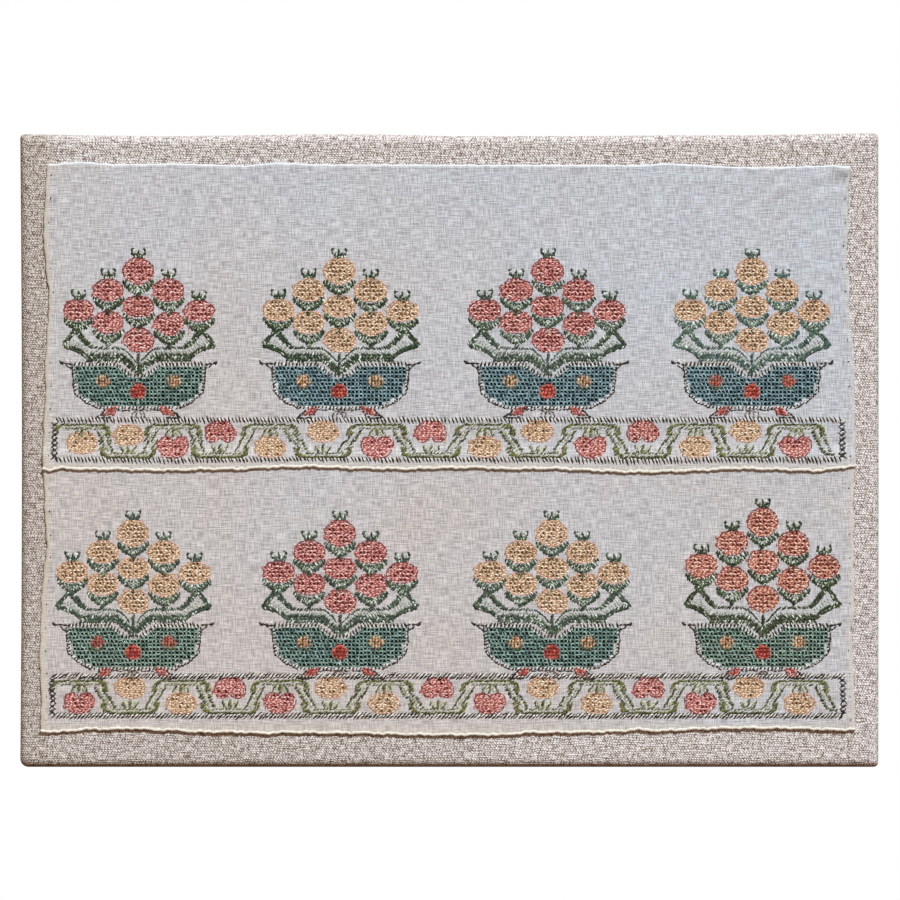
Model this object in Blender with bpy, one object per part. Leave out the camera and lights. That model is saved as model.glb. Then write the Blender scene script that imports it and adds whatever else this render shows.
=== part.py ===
"""Framed embroidery panel: two embroidered towel ends sewn to a linen-covered stretcher frame.

The panel stands upright on its lower edge. +X is to the viewer's right, -Y is towards the
viewer and +Z is up. The origin is the middle of the panel's footprint, at floor level.
Sizes are in millimetres, and MM turns them into Blender's metres.
"""
import math

import bmesh
import bpy

MM = 0.001

# The panel, over the linen
PANEL_WIDTH = 530.0
PANEL_HEIGHT = 391.0
LINEN_THICK = 1.0
FRONT_ROUND = 4.0
BACK_ROUND = 3.0
TURNOVER = 34.0
GAP = 0.3

# Stretcher bars of planed pine
BAR_WIDTH = 42.0
BAR_DEPTH = 25.0
BAR_TIP_CUT = 4.0
BAR_OUTER_ROUND = 3.2

# The two embroidered strips
CLOTH_THICK = 1.0
HEM_HALF_DEPTH = 1.2
HEM_HALF_HEIGHT = 1.4
LOWER_TOP = 191.0
EDGE_CLEARANCE = 2.0
STEP_RUN = 6.0

# Depths: the hem of the upper strip is the foremost thing, the linen's back the hindmost
LOWER_LIFT = GAP
UPPER_LIFT = LOWER_LIFT + CLOTH_THICK + GAP
PROUD = UPPER_LIFT + 2 * HEM_HALF_DEPTH
COVER_DEPTH = BAR_DEPTH + 2 * (GAP + LINEN_THICK)
LINEN_FRONT = PROUD - (PROUD + COVER_DEPTH) / 2
LINEN_BACK = LINEN_FRONT + COVER_DEPTH

# Radius of each corner of the panel, seen from the front
CORNER_ROUND = {"bottom_right": 3.0, "top_right": 3.0, "top_left": 2.5, "bottom_left": 5.0}
# How far the stretched linen pulls each edge in at its middle
EDGE_BOW = {"bottom": 0.0, "right": 0.4, "top": 0.4, "left": 1.0}

# Outlines of the strips: height above the floor, and place to the right of the middle
UPPER_LEFT = (  # height, x
    (373.3, -248.9), (330.0, -251.1), (305.3, -249.2), (292.3, -247.4), (279.3, -248.0),
    (242.3, -250.4), (233.0, -249.2), (223.1, -250.4), (184.8, -251.7))
UPPER_RIGHT = (  # height, x
    (371.4, 248.3), (348.6, 246.4), (334.3, 247.0), (309.6, 245.2), (299.7, 247.7),
    (278.7, 247.0), (260.8, 250.1), (186.6, 251.4))
UPPER_TOP = (  # x, height
    (-249.0, 372.8), (-227.0, 374.5), (-208.0, 372.7), (-171.0, 373.3), (-127.0, 372.0),
    (-108.0, 373.9), (118.0, 372.2), (133.0, 373.5), (175.0, 371.2), (200.0, 370.8), (248.0, 371.8))
UPPER_HEM = (  # x, height
    (-252.0, 184.2), (-216.0, 185.4), (-211.0, 182.9), (-197.0, 184.3), (-187.0, 182.3),
    (-166.0, 184.8), (-43.0, 183.9), (118.0, 182.3), (160.0, 185.2), (224.0, 182.3), (251.0, 186.4))
LOWER_LEFT = (  # height, x
    (LOWER_TOP, -251.0), (151.0, -250.0), (138.0, -248.6), (115.0, -251.4), (65.0, -253.5),
    (44.5, -252.3), (21.5, -252.9))
LOWER_RIGHT = (  # height, x
    (LOWER_TOP, 251.2), (167.0, 249.8), (94.0, 250.5), (86.5, 248.3), (48.0, 250.5), (22.0, 251.1))
LOWER_HEM = (  # x, height
    (-253.0, 21.0), (-238.0, 20.6), (-224.0, 22.7), (-192.0, 23.6), (-108.0, 20.4), (-80.0, 21.6),
    (204.0, 21.6), (215.0, 23.5), (220.0, 21.6), (251.0, 22.7))

SIDE_STEPS = 12
CORNER_STEPS = 3
ROUND_STEPS = 3
CLOTH_STEPS = 60
HEM_FRONT_STEPS = 3
HEM_BACK_STEPS = 5


def clear_scene():
    """Remove every object that the file opened with."""
    for thing in list(bpy.data.objects):
        bpy.data.objects.remove(thing, do_unlink=True)


def make_material(name, colour, roughness):
    """A plain Principled material of one colour."""
    material = bpy.data.materials.new(name)
    material.use_nodes = True
    shader = material.node_tree.nodes["Principled BSDF"]
    shader.inputs["Base Color"].default_value = (*colour, 1.0)
    shader.inputs["Roughness"].default_value = roughness
    shader.inputs["Metallic"].default_value = 0.0
    return material


def add_object(name, bm, material, smooth_angle=40.0):
    """Turn a finished bmesh in millimetres into a smooth-shaded object in metres."""
    bmesh.ops.scale(bm, vec=(MM, MM, MM), verts=bm.verts)
    bmesh.ops.recalc_face_normals(bm, faces=bm.faces)
    mesh = bpy.data.meshes.new(name)
    bm.to_mesh(mesh)
    bm.free()
    mesh.materials.append(material)
    mesh.shade_smooth()
    mesh.set_sharp_from_angle(angle=math.radians(smooth_angle))
    thing = bpy.data.objects.new(name, mesh)
    bpy.context.scene.collection.objects.link(thing)
    return thing


def skin(bm, rings):
    """Add the rings' points and the band of faces between each ring and the next."""
    loops = [[bm.verts.new(point) for point in ring] for ring in rings]
    for near, far in zip(loops, loops[1:]):
        for i in range(len(near)):
            j = (i + 1) % len(near)
            bm.faces.new((near[i], near[j], far[j], far[i]))
    return loops


def read_table(rows, place):
    """The second column of a table at a place in its first, eased between the rows."""
    rows = sorted(rows)
    if place <= rows[0][0]:
        return rows[0][1]
    for (start, low), (end, high) in zip(rows, rows[1:]):
        if place <= end:
            share = (place - start) / (end - start)
            return low + (high - low) * share * share * (3 - 2 * share)
    return rows[-1][1]


def bowed(x, z):
    """Move a point of the panel's outline in by the bow of the edge that it is near."""
    across = math.sin(math.pi * (x / PANEL_WIDTH + 0.5))
    up = math.sin(math.pi * z / PANEL_HEIGHT)
    if x < 0:
        x += EDGE_BOW["left"] * up * (-2 * x / PANEL_WIDTH)
    else:
        x -= EDGE_BOW["right"] * up * (2 * x / PANEL_WIDTH)
    z -= EDGE_BOW["top"] * across * max(0.0, 2 * z / PANEL_HEIGHT - 1)
    return x, z


def outline(inset, depth):
    """The panel's outline, drawn in by inset on all sides, as points at one depth."""
    half, low, high = PANEL_WIDTH / 2 - inset, inset, PANEL_HEIGHT - inset
    corners = (
        ("bottom_right", half, low, -90), ("top_right", half, high, 0),
        ("top_left", -half, high, 90), ("bottom_left", -half, low, 180))
    points = []
    for name, corner_x, corner_z, first_angle in corners:
        radius = max(CORNER_ROUND[name] - inset, 0.4)
        centre_x = corner_x - math.copysign(radius, corner_x)
        centre_z = corner_z - radius if corner_z == high else corner_z + radius
        for step in range(CORNER_STEPS + 1):
            angle = math.radians(first_angle + 90 * step / CORNER_STEPS)
            points.append((centre_x + radius * math.cos(angle), centre_z + radius * math.sin(angle)))
    filled = []
    for i, (x, z) in enumerate(points):
        filled.append((x, z))
        next_x, next_z = points[(i + 1) % len(points)]
        if (i + 1) % (CORNER_STEPS + 1) == 0:
            for step in range(1, SIDE_STEPS):
                share = step / SIDE_STEPS
                filled.append((x + (next_x - x) * share, z + (next_z - z) * share))
    return [(x, depth, z) for x, z in (bowed(x, z) for x, z in filled)]


def rounded_edge(inset, depth, radius, inward, from_face):
    """Rings round one long edge: inset and depth are its face's, inward is +1 towards the back."""
    rings = []
    for step in range(ROUND_STEPS + 1):
        turn = step / ROUND_STEPS if from_face else 1 - step / ROUND_STEPS
        angle = math.radians(90 * turn)
        rings.append(outline(
            inset + radius * (1 - math.sin(angle)),
            depth + inward * radius * (1 - math.cos(angle))))
    return rings


def make_linen_cover(material):
    """Linen over the front and the four sides, turned over onto the back: one sheet."""
    inner_front = LINEN_FRONT + LINEN_THICK
    inner_back = LINEN_BACK - LINEN_THICK
    inner_front_round = FRONT_ROUND - LINEN_THICK
    inner_back_round = BACK_ROUND - LINEN_THICK
    rings = rounded_edge(0, LINEN_FRONT, FRONT_ROUND, 1, True)
    rings += rounded_edge(0, LINEN_BACK, BACK_ROUND, -1, False)
    rings.append(outline(TURNOVER, LINEN_BACK))
    rings.append(outline(TURNOVER, inner_back))
    rings += rounded_edge(LINEN_THICK, inner_back, inner_back_round, -1, True)
    rings += rounded_edge(LINEN_THICK, inner_front, inner_front_round, 1, False)
    bm = bmesh.new()
    loops = skin(bm, rings)
    bm.faces.new(loops[0])
    bm.faces.new(loops[-1])
    return add_object("linen_cover", bm, material)


def bar_outline(side):
    """A mitred bar's corners, seen from the front: outer edge, tip cuts and inner edge."""
    wall = LINEN_THICK + GAP
    left = -PANEL_WIDTH / 2 + wall + EDGE_BOW["left"]
    right = PANEL_WIDTH / 2 - wall - EDGE_BOW["right"]
    low = wall + EDGE_BOW["bottom"]
    high = PANEL_HEIGHT - wall - EDGE_BOW["top"]
    if side in ("bar_bottom", "bar_top"):
        start, end = left, right
    else:
        start, end = low, high
    joint = GAP / 2 * math.sqrt(2)
    along_out = (
        (start + BAR_TIP_CUT + joint, 0), (end - BAR_TIP_CUT - joint, 0),
        (end - BAR_TIP_CUT / 2 - joint, BAR_TIP_CUT / 2), (end - BAR_WIDTH - joint, BAR_WIDTH),
        (start + BAR_WIDTH + joint, BAR_WIDTH), (start + BAR_TIP_CUT / 2 + joint, BAR_TIP_CUT / 2))
    place = {
        "bar_bottom": lambda along, out: (along, low + out),
        "bar_top": lambda along, out: (along, high - out),
        "bar_left": lambda along, out: (left + out, along),
        "bar_right": lambda along, out: (right - out, along)}[side]
    return [place(along, out) for along, out in along_out]


def make_bar(side, material):
    """One planed bar of the stretcher, mitred at 45 degrees, its outer arrises rounded over."""
    front = LINEN_FRONT + LINEN_THICK + GAP
    points = bar_outline(side)
    bm = bmesh.new()
    face = bm.faces.new([bm.verts.new((x, front, z)) for x, z in points])
    sweep = bmesh.ops.extrude_face_region(bm, geom=[face])
    moved = [item for item in sweep["geom"] if isinstance(item, bmesh.types.BMVert)]
    bmesh.ops.translate(bm, verts=moved, vec=(0, BAR_DEPTH, 0))
    outer_run = (points[5], points[0], points[1], points[2])
    arrises = [edge for edge in bm.edges if is_arris(edge, outer_run)]
    bmesh.ops.bevel(
        bm, geom=arrises, offset=BAR_OUTER_ROUND, offset_type="OFFSET", segments=3, profile=0.5,
        affect="EDGES", clamp_overlap=True)
    return add_object(side, bm, material)


def is_arris(edge, run):
    """Whether an edge joins two neighbouring corners of a run along a bar's outer side."""
    near = 0.01
    ends = [(vert.co.x, vert.co.z) for vert in edge.verts]
    spots = [i for end in ends for i, corner in enumerate(run) if math.dist(end, corner) < near]
    return len(spots) == 2 and abs(spots[0] - spots[1]) == 1


def cloth_section(x_share, left, right, rows, hem_height, lift_at):
    """One closed section of a strip: its front from the top down, the rolled hem, its back."""
    front, back = [], []
    for height in rows:
        across = read_table(left, height) * (1 - x_share) + read_table(right, height) * x_share
        lift = lift_at(height)
        front.append((across, LINEN_FRONT - lift - CLOTH_THICK, height))
        back.append((across, LINEN_FRONT - lift, height))
    lift = lift_at(hem_height)
    across = read_table(left, hem_height) * (1 - x_share) + read_table(right, hem_height) * x_share
    first_angle = math.degrees(math.acos((CLOTH_THICK - HEM_HALF_DEPTH) / HEM_HALF_DEPTH))
    turns = [first_angle * (1 - step / HEM_FRONT_STEPS) for step in range(HEM_FRONT_STEPS)]
    turns += [-180 * step / HEM_BACK_STEPS for step in range(HEM_BACK_STEPS + 1)]
    roll = []
    for angle in map(math.radians, turns):
        roll.append((
            across,
            LINEN_FRONT - lift - HEM_HALF_DEPTH * (1 + math.cos(angle)),
            hem_height + HEM_HALF_HEIGHT * math.sin(angle)))
    return front + roll + back[::-1]


def close_end(bm, loop, row_count):
    """Close a strip's end: a face between each two rows, and one across the rolled hem."""
    for i in range(row_count - 1):
        bm.faces.new((loop[i], loop[i + 1], loop[-2 - i], loop[-1 - i]))
    bm.faces.new(loop[row_count - 1:len(loop) - row_count + 1])


def make_cloth(name, material, left, right, top, hem, row_heights, lift_at):
    """A strip of towel: wavy edges all round, and a rolled hem along its lower edge."""
    sections = []
    for step in range(CLOTH_STEPS + 1):
        share = step / CLOTH_STEPS
        middle_x = (share - 0.5) * (right[0][1] - left[0][1])
        rows = row_heights(read_table(top, middle_x))
        sections.append(cloth_section(share, left, right, rows, read_table(hem, middle_x), lift_at))
    bm = bmesh.new()
    loops = skin(bm, sections)
    row_count = len(rows)
    close_end(bm, loops[0], row_count)
    close_end(bm, loops[-1], row_count)
    return add_object(name, bm, material)


def make_lower_cloth(material):
    """The lower strip, flat on the linen; its cut top edge is hidden by the upper one's hem."""
    def row_heights(top_height):
        shares = (0.0, 0.14, 0.28, 0.43, 0.57, 0.72, 0.86, 1.0)
        lowest = 26.0
        return [top_height + (lowest - top_height) * share for share in shares]

    return make_cloth(
        "lower_cloth", material, LOWER_LEFT, LOWER_RIGHT, ((-252, LOWER_TOP), (252, LOWER_TOP)),
        LOWER_HEM, row_heights, lambda height: LOWER_LIFT)


def make_upper_cloth(material):
    """The upper strip: flat on the linen, then a step out over the lower strip's top edge."""
    step_foot = LOWER_TOP + EDGE_CLEARANCE
    step_head = step_foot + STEP_RUN

    def lift_at(height):
        share = min(max((step_head - height) / STEP_RUN, 0.0), 1.0)
        return LOWER_LIFT + (UPPER_LIFT - LOWER_LIFT) * share * share * (3 - 2 * share)

    def row_heights(top_height):
        shares = (0.0, 0.14, 0.28, 0.42, 0.56, 0.7, 0.85)
        rows = [top_height + (step_head - top_height) * share for share in shares]
        return rows + [step_head, (step_head + step_foot) / 2, step_foot, 188.6]

    return make_cloth(
        "upper_cloth", material, UPPER_LEFT, UPPER_RIGHT, UPPER_TOP, UPPER_HEM, row_heights, lift_at)


def main():
    clear_scene()
    linen = make_material("backing linen", (0.50, 0.44, 0.36), 0.95)
    towel = make_material("towel linen", (0.62, 0.58, 0.52), 0.9)
    pine = make_material("planed pine", (0.62, 0.42, 0.23), 0.6)
    for side in ("bar_bottom", "bar_top", "bar_left", "bar_right"):
        make_bar(side, pine)
    make_linen_cover(linen)
    make_lower_cloth(towel)
    make_upper_cloth(towel)


main()
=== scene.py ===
# %% [markdown]
# # A framed embroidery panel
# Two old towel ends, worked in counted stitches with bowls of fruit over a fruiting vine, are
# sewn one above the other on coarse linen, which is stretched over four pine bars.
#
# The frame loaded below fixes every size and place. This lesson gives the panel its looks: the
# planed bars, the linen folded round them, the two strips with their pulled-thread holes and
# rolled hems, and every stitch as a real, raised piece of thread.

import math

import bpy
import numpy as np
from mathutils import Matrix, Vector


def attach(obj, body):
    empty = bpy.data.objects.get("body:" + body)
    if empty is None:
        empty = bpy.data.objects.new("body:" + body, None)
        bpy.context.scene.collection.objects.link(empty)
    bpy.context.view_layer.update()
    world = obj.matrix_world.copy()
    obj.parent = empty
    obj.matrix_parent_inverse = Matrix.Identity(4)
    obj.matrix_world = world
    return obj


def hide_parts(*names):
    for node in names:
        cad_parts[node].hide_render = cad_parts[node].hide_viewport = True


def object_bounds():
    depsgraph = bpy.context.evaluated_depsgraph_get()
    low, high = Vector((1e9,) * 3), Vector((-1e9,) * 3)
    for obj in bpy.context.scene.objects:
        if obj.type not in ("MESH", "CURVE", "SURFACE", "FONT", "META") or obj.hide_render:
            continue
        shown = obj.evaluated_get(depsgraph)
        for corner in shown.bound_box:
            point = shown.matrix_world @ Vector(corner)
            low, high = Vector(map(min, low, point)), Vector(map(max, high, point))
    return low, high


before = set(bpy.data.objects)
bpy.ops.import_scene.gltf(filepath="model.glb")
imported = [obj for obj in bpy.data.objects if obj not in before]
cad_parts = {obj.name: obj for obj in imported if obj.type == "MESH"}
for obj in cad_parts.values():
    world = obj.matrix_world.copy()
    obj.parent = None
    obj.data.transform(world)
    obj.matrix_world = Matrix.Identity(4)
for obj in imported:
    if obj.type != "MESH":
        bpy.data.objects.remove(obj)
cad_low, cad_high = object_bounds()
MM = 0.001
print("panel from", [round(v, 4) for v in cad_low], "to", [round(v, 4) for v in cad_high])

# %% [markdown]
# ## The camera
# The panel was photographed square on, from far enough away for its sides to stay hidden. A
# long lens does the same. The picture is 900 pixels wide and the panel fills 857.6 of them, so
# the lens follows from the distance and the panel's real width.

# %% Place the camera
PICTURE_PIXELS = 900
PANEL_PIXELS = 857.6
PANEL_MIDDLE = (449.25, 451)  # where the panel's middle is, in pixels from the left and the top
CAMERA_DISTANCE = 6  # metres
SENSOR_MM = 36

metres_per_pixel = (cad_high[0] - cad_low[0]) / PANEL_PIXELS
middle_height = (cad_low[2] + cad_high[2]) / 2
camera_data = bpy.data.cameras.new("camera")
camera_data.sensor_width = SENSOR_MM
camera_data.lens = SENSOR_MM * CAMERA_DISTANCE / (PICTURE_PIXELS * metres_per_pixel)
camera = bpy.data.objects.new("camera", camera_data)
bpy.context.scene.collection.objects.link(camera)
camera.location = (
    (PICTURE_PIXELS / 2 - PANEL_MIDDLE[0]) * metres_per_pixel,
    cad_low[1] - CAMERA_DISTANCE,
    middle_height + (PANEL_MIDDLE[1] - PICTURE_PIXELS / 2) * metres_per_pixel)
camera.rotation_euler = (math.radians(90), 0, 0)
bpy.context.scene.camera = camera
print("lens", round(camera_data.lens, 1), "mm")

# %% [markdown]
# ## Colours and nodes
# Colours are picked as sRGB hex values, as a dyer would match a thread to a card, and one
# function turns them to the linear numbers that Blender mixes. One more adds a node.

# %% Helpers for materials
def linear(hex_colour):
    """An sRGB hex colour as linear red, green, blue and alpha."""
    parts = [int(hex_colour[i:i + 2], 16) / 255 for i in (1, 3, 5)]
    return [p / 12.92 if p <= 0.04045 else ((p + 0.055) / 1.055) ** 2.4 for p in parts] + [1]


def fill_inputs(tree, node, inputs):
    """Fill a node's inputs with numbers, hex colours, sockets, or what other nodes put out."""
    for key, value in inputs.items():
        if isinstance(value, bpy.types.Node):
            value = next(output for output in value.outputs if output.enabled)
        if isinstance(value, bpy.types.NodeSocket):
            tree.links.new(value, node.inputs[key])
        else:
            node.inputs[key].default_value = linear(value) if isinstance(value, str) else value


def add_node(tree, kind, inputs=None, **settings):
    """Add a node, set its properties, and fill its inputs."""
    node = tree.nodes.new("ShaderNode" + kind)
    for name, value in settings.items():
        setattr(node, name, value)
    fill_inputs(tree, node, inputs or {})
    return node


FACTOR, FIRST, SECOND = 0, 6, 7  # inputs of a Mix node that mixes colours


def new_material(name, roughness, specular=0.3):
    """A material with one Principled shader."""
    material = bpy.data.materials.new(name)
    material.use_nodes = True
    shader = material.node_tree.nodes["Principled BSDF"]
    fill_inputs(material.node_tree, shader, {"Roughness": roughness, "Specular IOR Level": specular})
    return material, material.node_tree, shader


print("helpers ready")

# %% [markdown]
# ## Light and floor
# The light falls from the upper right: the panel's left and lower edges are dark and warm, and
# each hem throws a thin brown shadow. A far, slightly soft lamp does that, and a warm dim room
# fills its shadows. Room and floor are plain white to the camera, and dim to the panel.

# %% The room, the window light and the floor
WINDOW_DIRECTION = Vector((0.38, -1, 1.12))  # from the panel towards the light
WINDOW_STRENGTH = 4.2
WINDOW_SOFTNESS = math.radians(9)
ROOM_STRENGTH = 0.4
FLOOR_SIZE = 14  # metres


def seen_white(tree, dim, white):
    """White to the camera, and something dim and warm to all that is lit by it."""
    camera_ray = add_node(tree, "LightPath").outputs["Is Camera Ray"]
    return add_node(tree, "MixShader", {0: camera_ray, 1: dim, 2: white})


world = bpy.data.worlds.new("warm room")
bpy.context.scene.world = world
world.use_nodes = True
room = world.node_tree
room.nodes.clear()
warm = add_node(room, "Background", {"Color": "#ffe9d5", "Strength": ROOM_STRENGTH})
white = add_node(room, "Background", {"Color": "#ffffff", "Strength": 1})
add_node(room, "OutputWorld", {"Surface": seen_white(room, warm, white)})

window_data = bpy.data.lights.new("window light", "SUN")
window_data.energy = WINDOW_STRENGTH
window_data.angle = WINDOW_SOFTNESS
window_data.color = linear("#e9f6ff")[:3]
window = bpy.data.objects.new("window light", window_data)
window.rotation_mode = "QUATERNION"
window.rotation_quaternion = WINDOW_DIRECTION.to_track_quat("Z", "Y")
bpy.context.scene.collection.objects.link(window)

bpy.ops.object.select_all(action="DESELECT")
bpy.ops.mesh.primitive_plane_add(size=FLOOR_SIZE, location=(0, 0, 0))
floor = bpy.context.object
floor.name = "floor"
floor_material = bpy.data.materials.new("white floor over brown shade")
floor_material.use_nodes = True
floor_tree = floor_material.node_tree
floor_tree.nodes.clear()
shade = add_node(floor_tree, "BsdfDiffuse", {"Color": "#75573f"})
glow = add_node(floor_tree, "Emission", {"Color": "#ffffff", "Strength": 1})
add_node(floor_tree, "OutputMaterial", {"Surface": seen_white(floor_tree, shade, glow)})
floor.data.materials.append(floor_material)
bpy.context.scene.view_settings.view_transform = "Standard"
print("light and floor set")

# %% [markdown]
# ## The cloth's own measure: the count
# Counted work has no free lines. Every stitch spans the same few threads of the ground, so a
# design is a chart of counts. Here one count is four threads, 2.385 mm. A place on a strip is
# a column, counted from its left edge, and a row, counted up from its hem. One function turns
# counts into millimetres, and that is where the cloth's unevenness lives: its wandering edges,
# the parts drawn in between the bowls, and its soft puckers.

# %% Where the strips lie, in millimetres
COUNT = 2.385
LINEN_FRONT = -11.8
CLOTH_THICK = 1
LIFT = 0.3  # the least gap between a strip and the linen
STEP_OUT = 1.3  # how much further out the upper strip lies where it covers the lower one's edge
STEP_FOOT, STEP_HEAD = 193, 199  # the heights between which it steps back
HEM_HALF_DEPTH, HEM_HALF_HEIGHT = 0.75, 1.1
HEM_OVERLAP = 0.4  # how far above the middle of the rolled hem the cloth's lowest row is

# Side edges are (height, x); the top edge and the middle of the rolled hem are (x, height)
UPPER = {
    "name": "upper_strip", "columns": 210, "rows": 78, "foot": 185, "top": 372.6,
    "sides": (-250, 249), "bowl_columns": (25, 78, 131, 184),
    "bowl_x": (-192.3, -68.1, 61, 187.1), "stepped": True,
    "left": (
        (184.8, -251.7), (223.1, -250.4), (233, -249.2), (242.3, -250.4), (279.3, -248),
        (292.3, -247.4), (305.3, -249.2), (330, -251.1), (373.3, -248.9)),
    "right": (
        (186.6, 251.4), (260.8, 250.1), (267, 248.3), (278.7, 247), (299.7, 247.7),
        (309.6, 245.2), (334.3, 247), (348.6, 246.4), (371.4, 248.3)),
    "top_edge": (
        (-249, 372.8), (-227, 374.5), (-208, 372.7), (-171, 373.3), (-127, 372),
        (-108, 373.9), (-80, 372.7), (118, 372.2), (133, 373.5), (175, 371.2),
        (200, 370.8), (238, 372.2), (248, 371.4)),
    "hem": (
        (-251, 184.6), (-246, 183.9), (-241, 185.2), (-226, 184.5), (-203, 184.5), (-189, 183.9),
        (-166, 183.9), (-152, 184.5), (-129, 184.6), (-114, 185.7), (-85, 186.3), (-63, 185.2),
        (-25, 184.6), (-11, 185.2), (19, 185.6), (34, 184.6), (63, 185), (86, 183.9), (108, 182.8),
        (123, 182.8), (145, 183.4), (167, 184.4), (175, 185), (197, 184.5), (219, 183.8),
        (227, 183.4), (241, 185.2), (251, 186.6)),
    "selvage_cream": (0.55, 0.2)}
LOWER = {
    "name": "lower_strip", "columns": 212, "rows": 71, "foot": 21.6, "top": 191,
    "sides": (-251.5, 250.5), "bowl_columns": (24, 78, 133, 188),
    "bowl_x": (-195.5, -67.5, 63.5, 193.9), "stepped": False,
    "left": (
        (21.5, -252.9), (44.5, -252.3), (65.5, -253.5), (103, -252.3), (115, -251.4),
        (138, -248.6), (151, -250), (179, -250.7), (191, -251)),
    "right": (
        (22.9, 251.1), (48.2, 250.5), (86.5, 248.3), (93.9, 250.5), (167.5, 249.8), (191, 251.2)),
    "top_edge": ((-252, 191), (252, 191)),
    "hem": (
        (-253, 22.4), (-241, 22.1), (-233, 22.8), (-226, 23.7), (-203, 23.9), (-196, 24.4),
        (-181, 23.3), (-166, 23.1), (-159, 22.1), (-129, 22), (-114, 21.1), (-100, 21.9),
        (-77, 21.4), (-55, 21.4), (-25, 20.4), (4, 20.3), (34, 20.3), (49, 21.8), (86, 21.9),
        (108, 22.6), (115, 23.6), (130, 22.6), (152, 23.8), (175, 24.5), (197, 24.4),
        (212, 24.4), (227, 23.8), (241, 23.2), (251, 23.8)),
    "selvage_cream": (0.6, 0.45)}
print("the upper strip is", UPPER["columns"], "by", UPPER["rows"], "counts")

# %% From counts to millimetres
EDGE_FADE, HEM_FADE = 6, 3  # counts over which a wandering edge's wander dies away
# Soft puckers: wavelength across and up in mm, phase, and half their height in mm
PUCKERS = ((61, 143, 1.3, 0.1), (-37, 52, 0.4, 0.07), (171, -88, 2.2, 0.12), (23, 31, 4, 0.04))
# Creases of the upper strip: their two ends as x and height, half width, and height in mm
CREASES = (
    (204, 357, 247, 369.5, 2.6, 0.55), (222, 350, 248, 357.5, 2.4, 0.4),
    (-249, 352, -232, 371, 2.8, 0.35), (120, 366, 178, 361, 3, 0.3))
CREASE_FADE = 4  # mm over which a crease dies away past its ends


def read(rows, place):
    """The second column of a table at many places in its first."""
    at, value = zip(*rows)
    return np.interp(place, at, value)


def fading(distance, over):
    """1 at an edge, and less and less down to 0 at some distance from it."""
    return np.clip(1 - distance / over, 0, 1)


def place_of(strip, column, row):
    """Where a column and a row lie on the front of the panel: x and height."""
    column, row = np.broadcast_arrays(np.asarray(column, float), np.asarray(row, float))
    last = strip["columns"]
    left, right = strip["sides"]
    x = np.interp(column, (0, *strip["bowl_columns"], last), (left, *strip["bowl_x"], right))
    z = strip["foot"] + row * (strip["top"] - strip["foot"]) / strip["rows"]
    # Waves one or two centimetres long fray the cut top edge and both selvages
    top_edge = read(strip["top_edge"], x) + 0.2 * np.sin(x / 1.7) * np.sin(x / 9.1)
    z = z + fading(strip["rows"] - row, EDGE_FADE) * (top_edge - strip["top"])
    z = z + fading(row, HEM_FADE) * (read(strip["hem"], x) + HEM_OVERLAP - strip["foot"])
    frayed = 0.3 * np.sin(z / 1.3) * np.sin(z / 7.7) + 0.2 * np.sin(z / 2.9)
    x = x + fading(column, EDGE_FADE) * (read(strip["left"], z) - left + frayed)
    x = x + fading(last - column, EDGE_FADE) * (read(strip["right"], z) - right + frayed)
    return x, z


def lift_of(strip, x, z):
    """How far the cloth's back stands off the linen."""
    lift = np.full_like(x, LIFT)
    for across, up, phase, half_height in PUCKERS:
        lift = lift + half_height * (1 + np.sin(2 * math.pi * (x / across + z / up) + phase))
    if strip["stepped"]:
        for x0, z0, x1, z1, half_width, height in CREASES:
            length = math.hypot(x1 - x0, z1 - z0)
            along = ((x - x0) * (x1 - x0) + (z - z0) * (z1 - z0)) / length
            aside = ((x - x0) * (z1 - z0) - (z - z0) * (x1 - x0)) / length
            beyond = np.maximum(0, np.abs(along - length / 2) - length / 2)
            lift = lift + height * np.exp(-(aside / half_width) ** 2 - (beyond / CREASE_FADE) ** 2)
        # It rides up over the lower strip's cut edge, in a curve that is level at both its ends
        share = np.clip((STEP_HEAD - z) / (STEP_HEAD - STEP_FOOT), 0, 1)
        lift = lift + STEP_OUT * share * share * (3 - 2 * share)
    return lift


def on_cloth(strip, column, row):
    """Points in metres on a strip's front."""
    x, z = place_of(strip, column, row)
    y = LINEN_FRONT - lift_of(strip, x, z) - CLOTH_THICK
    return np.stack([x, y, z], axis=-1) * MM


print("the first bowl's rim is at", on_cloth(UPPER, 25, 27).round(4))

# %% [markdown]
# ## Floss
# The stitching is soft-twisted silk and cotton floss, dyed with plants. It has a low sheen and
# no hard highlight. Each length has faded a little differently, so a stitch takes its own place
# between a deep and a pale tone.

# %% Floss materials
# Each kind's deep and pale tone
FLOSS_TONES = {
    "rose": ("#8a3f3b", "#c6746c"), "pale rose": ("#d98f84", "#fdd6ca"),
    "dark rose": ("#5e2022", "#944349"), "pale salmon": ("#dc9e80", "#fedcc2"),
    "peach": ("#9a7c5e", "#ccae8d"), "pale peach": ("#deba98", "#ffecd6"),
    "dark peach": ("#b27c60", "#e2b195"), "teal": ("#3b5751", "#9bb8ac"),
    "blue teal": ("#3f5d67", "#9ab8bc"), "grey teal": ("#4a6457", "#a3baab"),
    "leaf green": ("#141a0c", "#47532f"), "bottle green": ("#0e1d0d", "#3a5230"),
    "grey green": ("#1b281f", "#52644f"), "blue green": ("#20332c", "#5e7a6f"),
    "moss": ("#39452a", "#7d8a64"), "pale green": ("#a2ad97", "#e2e7db"),
    "sage": ("#8d9788", "#c3cabf"), "olive": ("#33340f", "#858545"),
    "pale olive": ("#9f9f82", "#d2d3bd"), "walnut": ("#150f0b", "#43352d"),
    "brown": ("#4a3a30", "#85705f"), "red": ("#8a281f", "#d96a55"),
    "orange": ("#a8704a", "#eabf95"), "cream": ("#cfc8b8", "#f6f1e6")}
THREADS = tuple(FLOSS_TONES)


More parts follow.
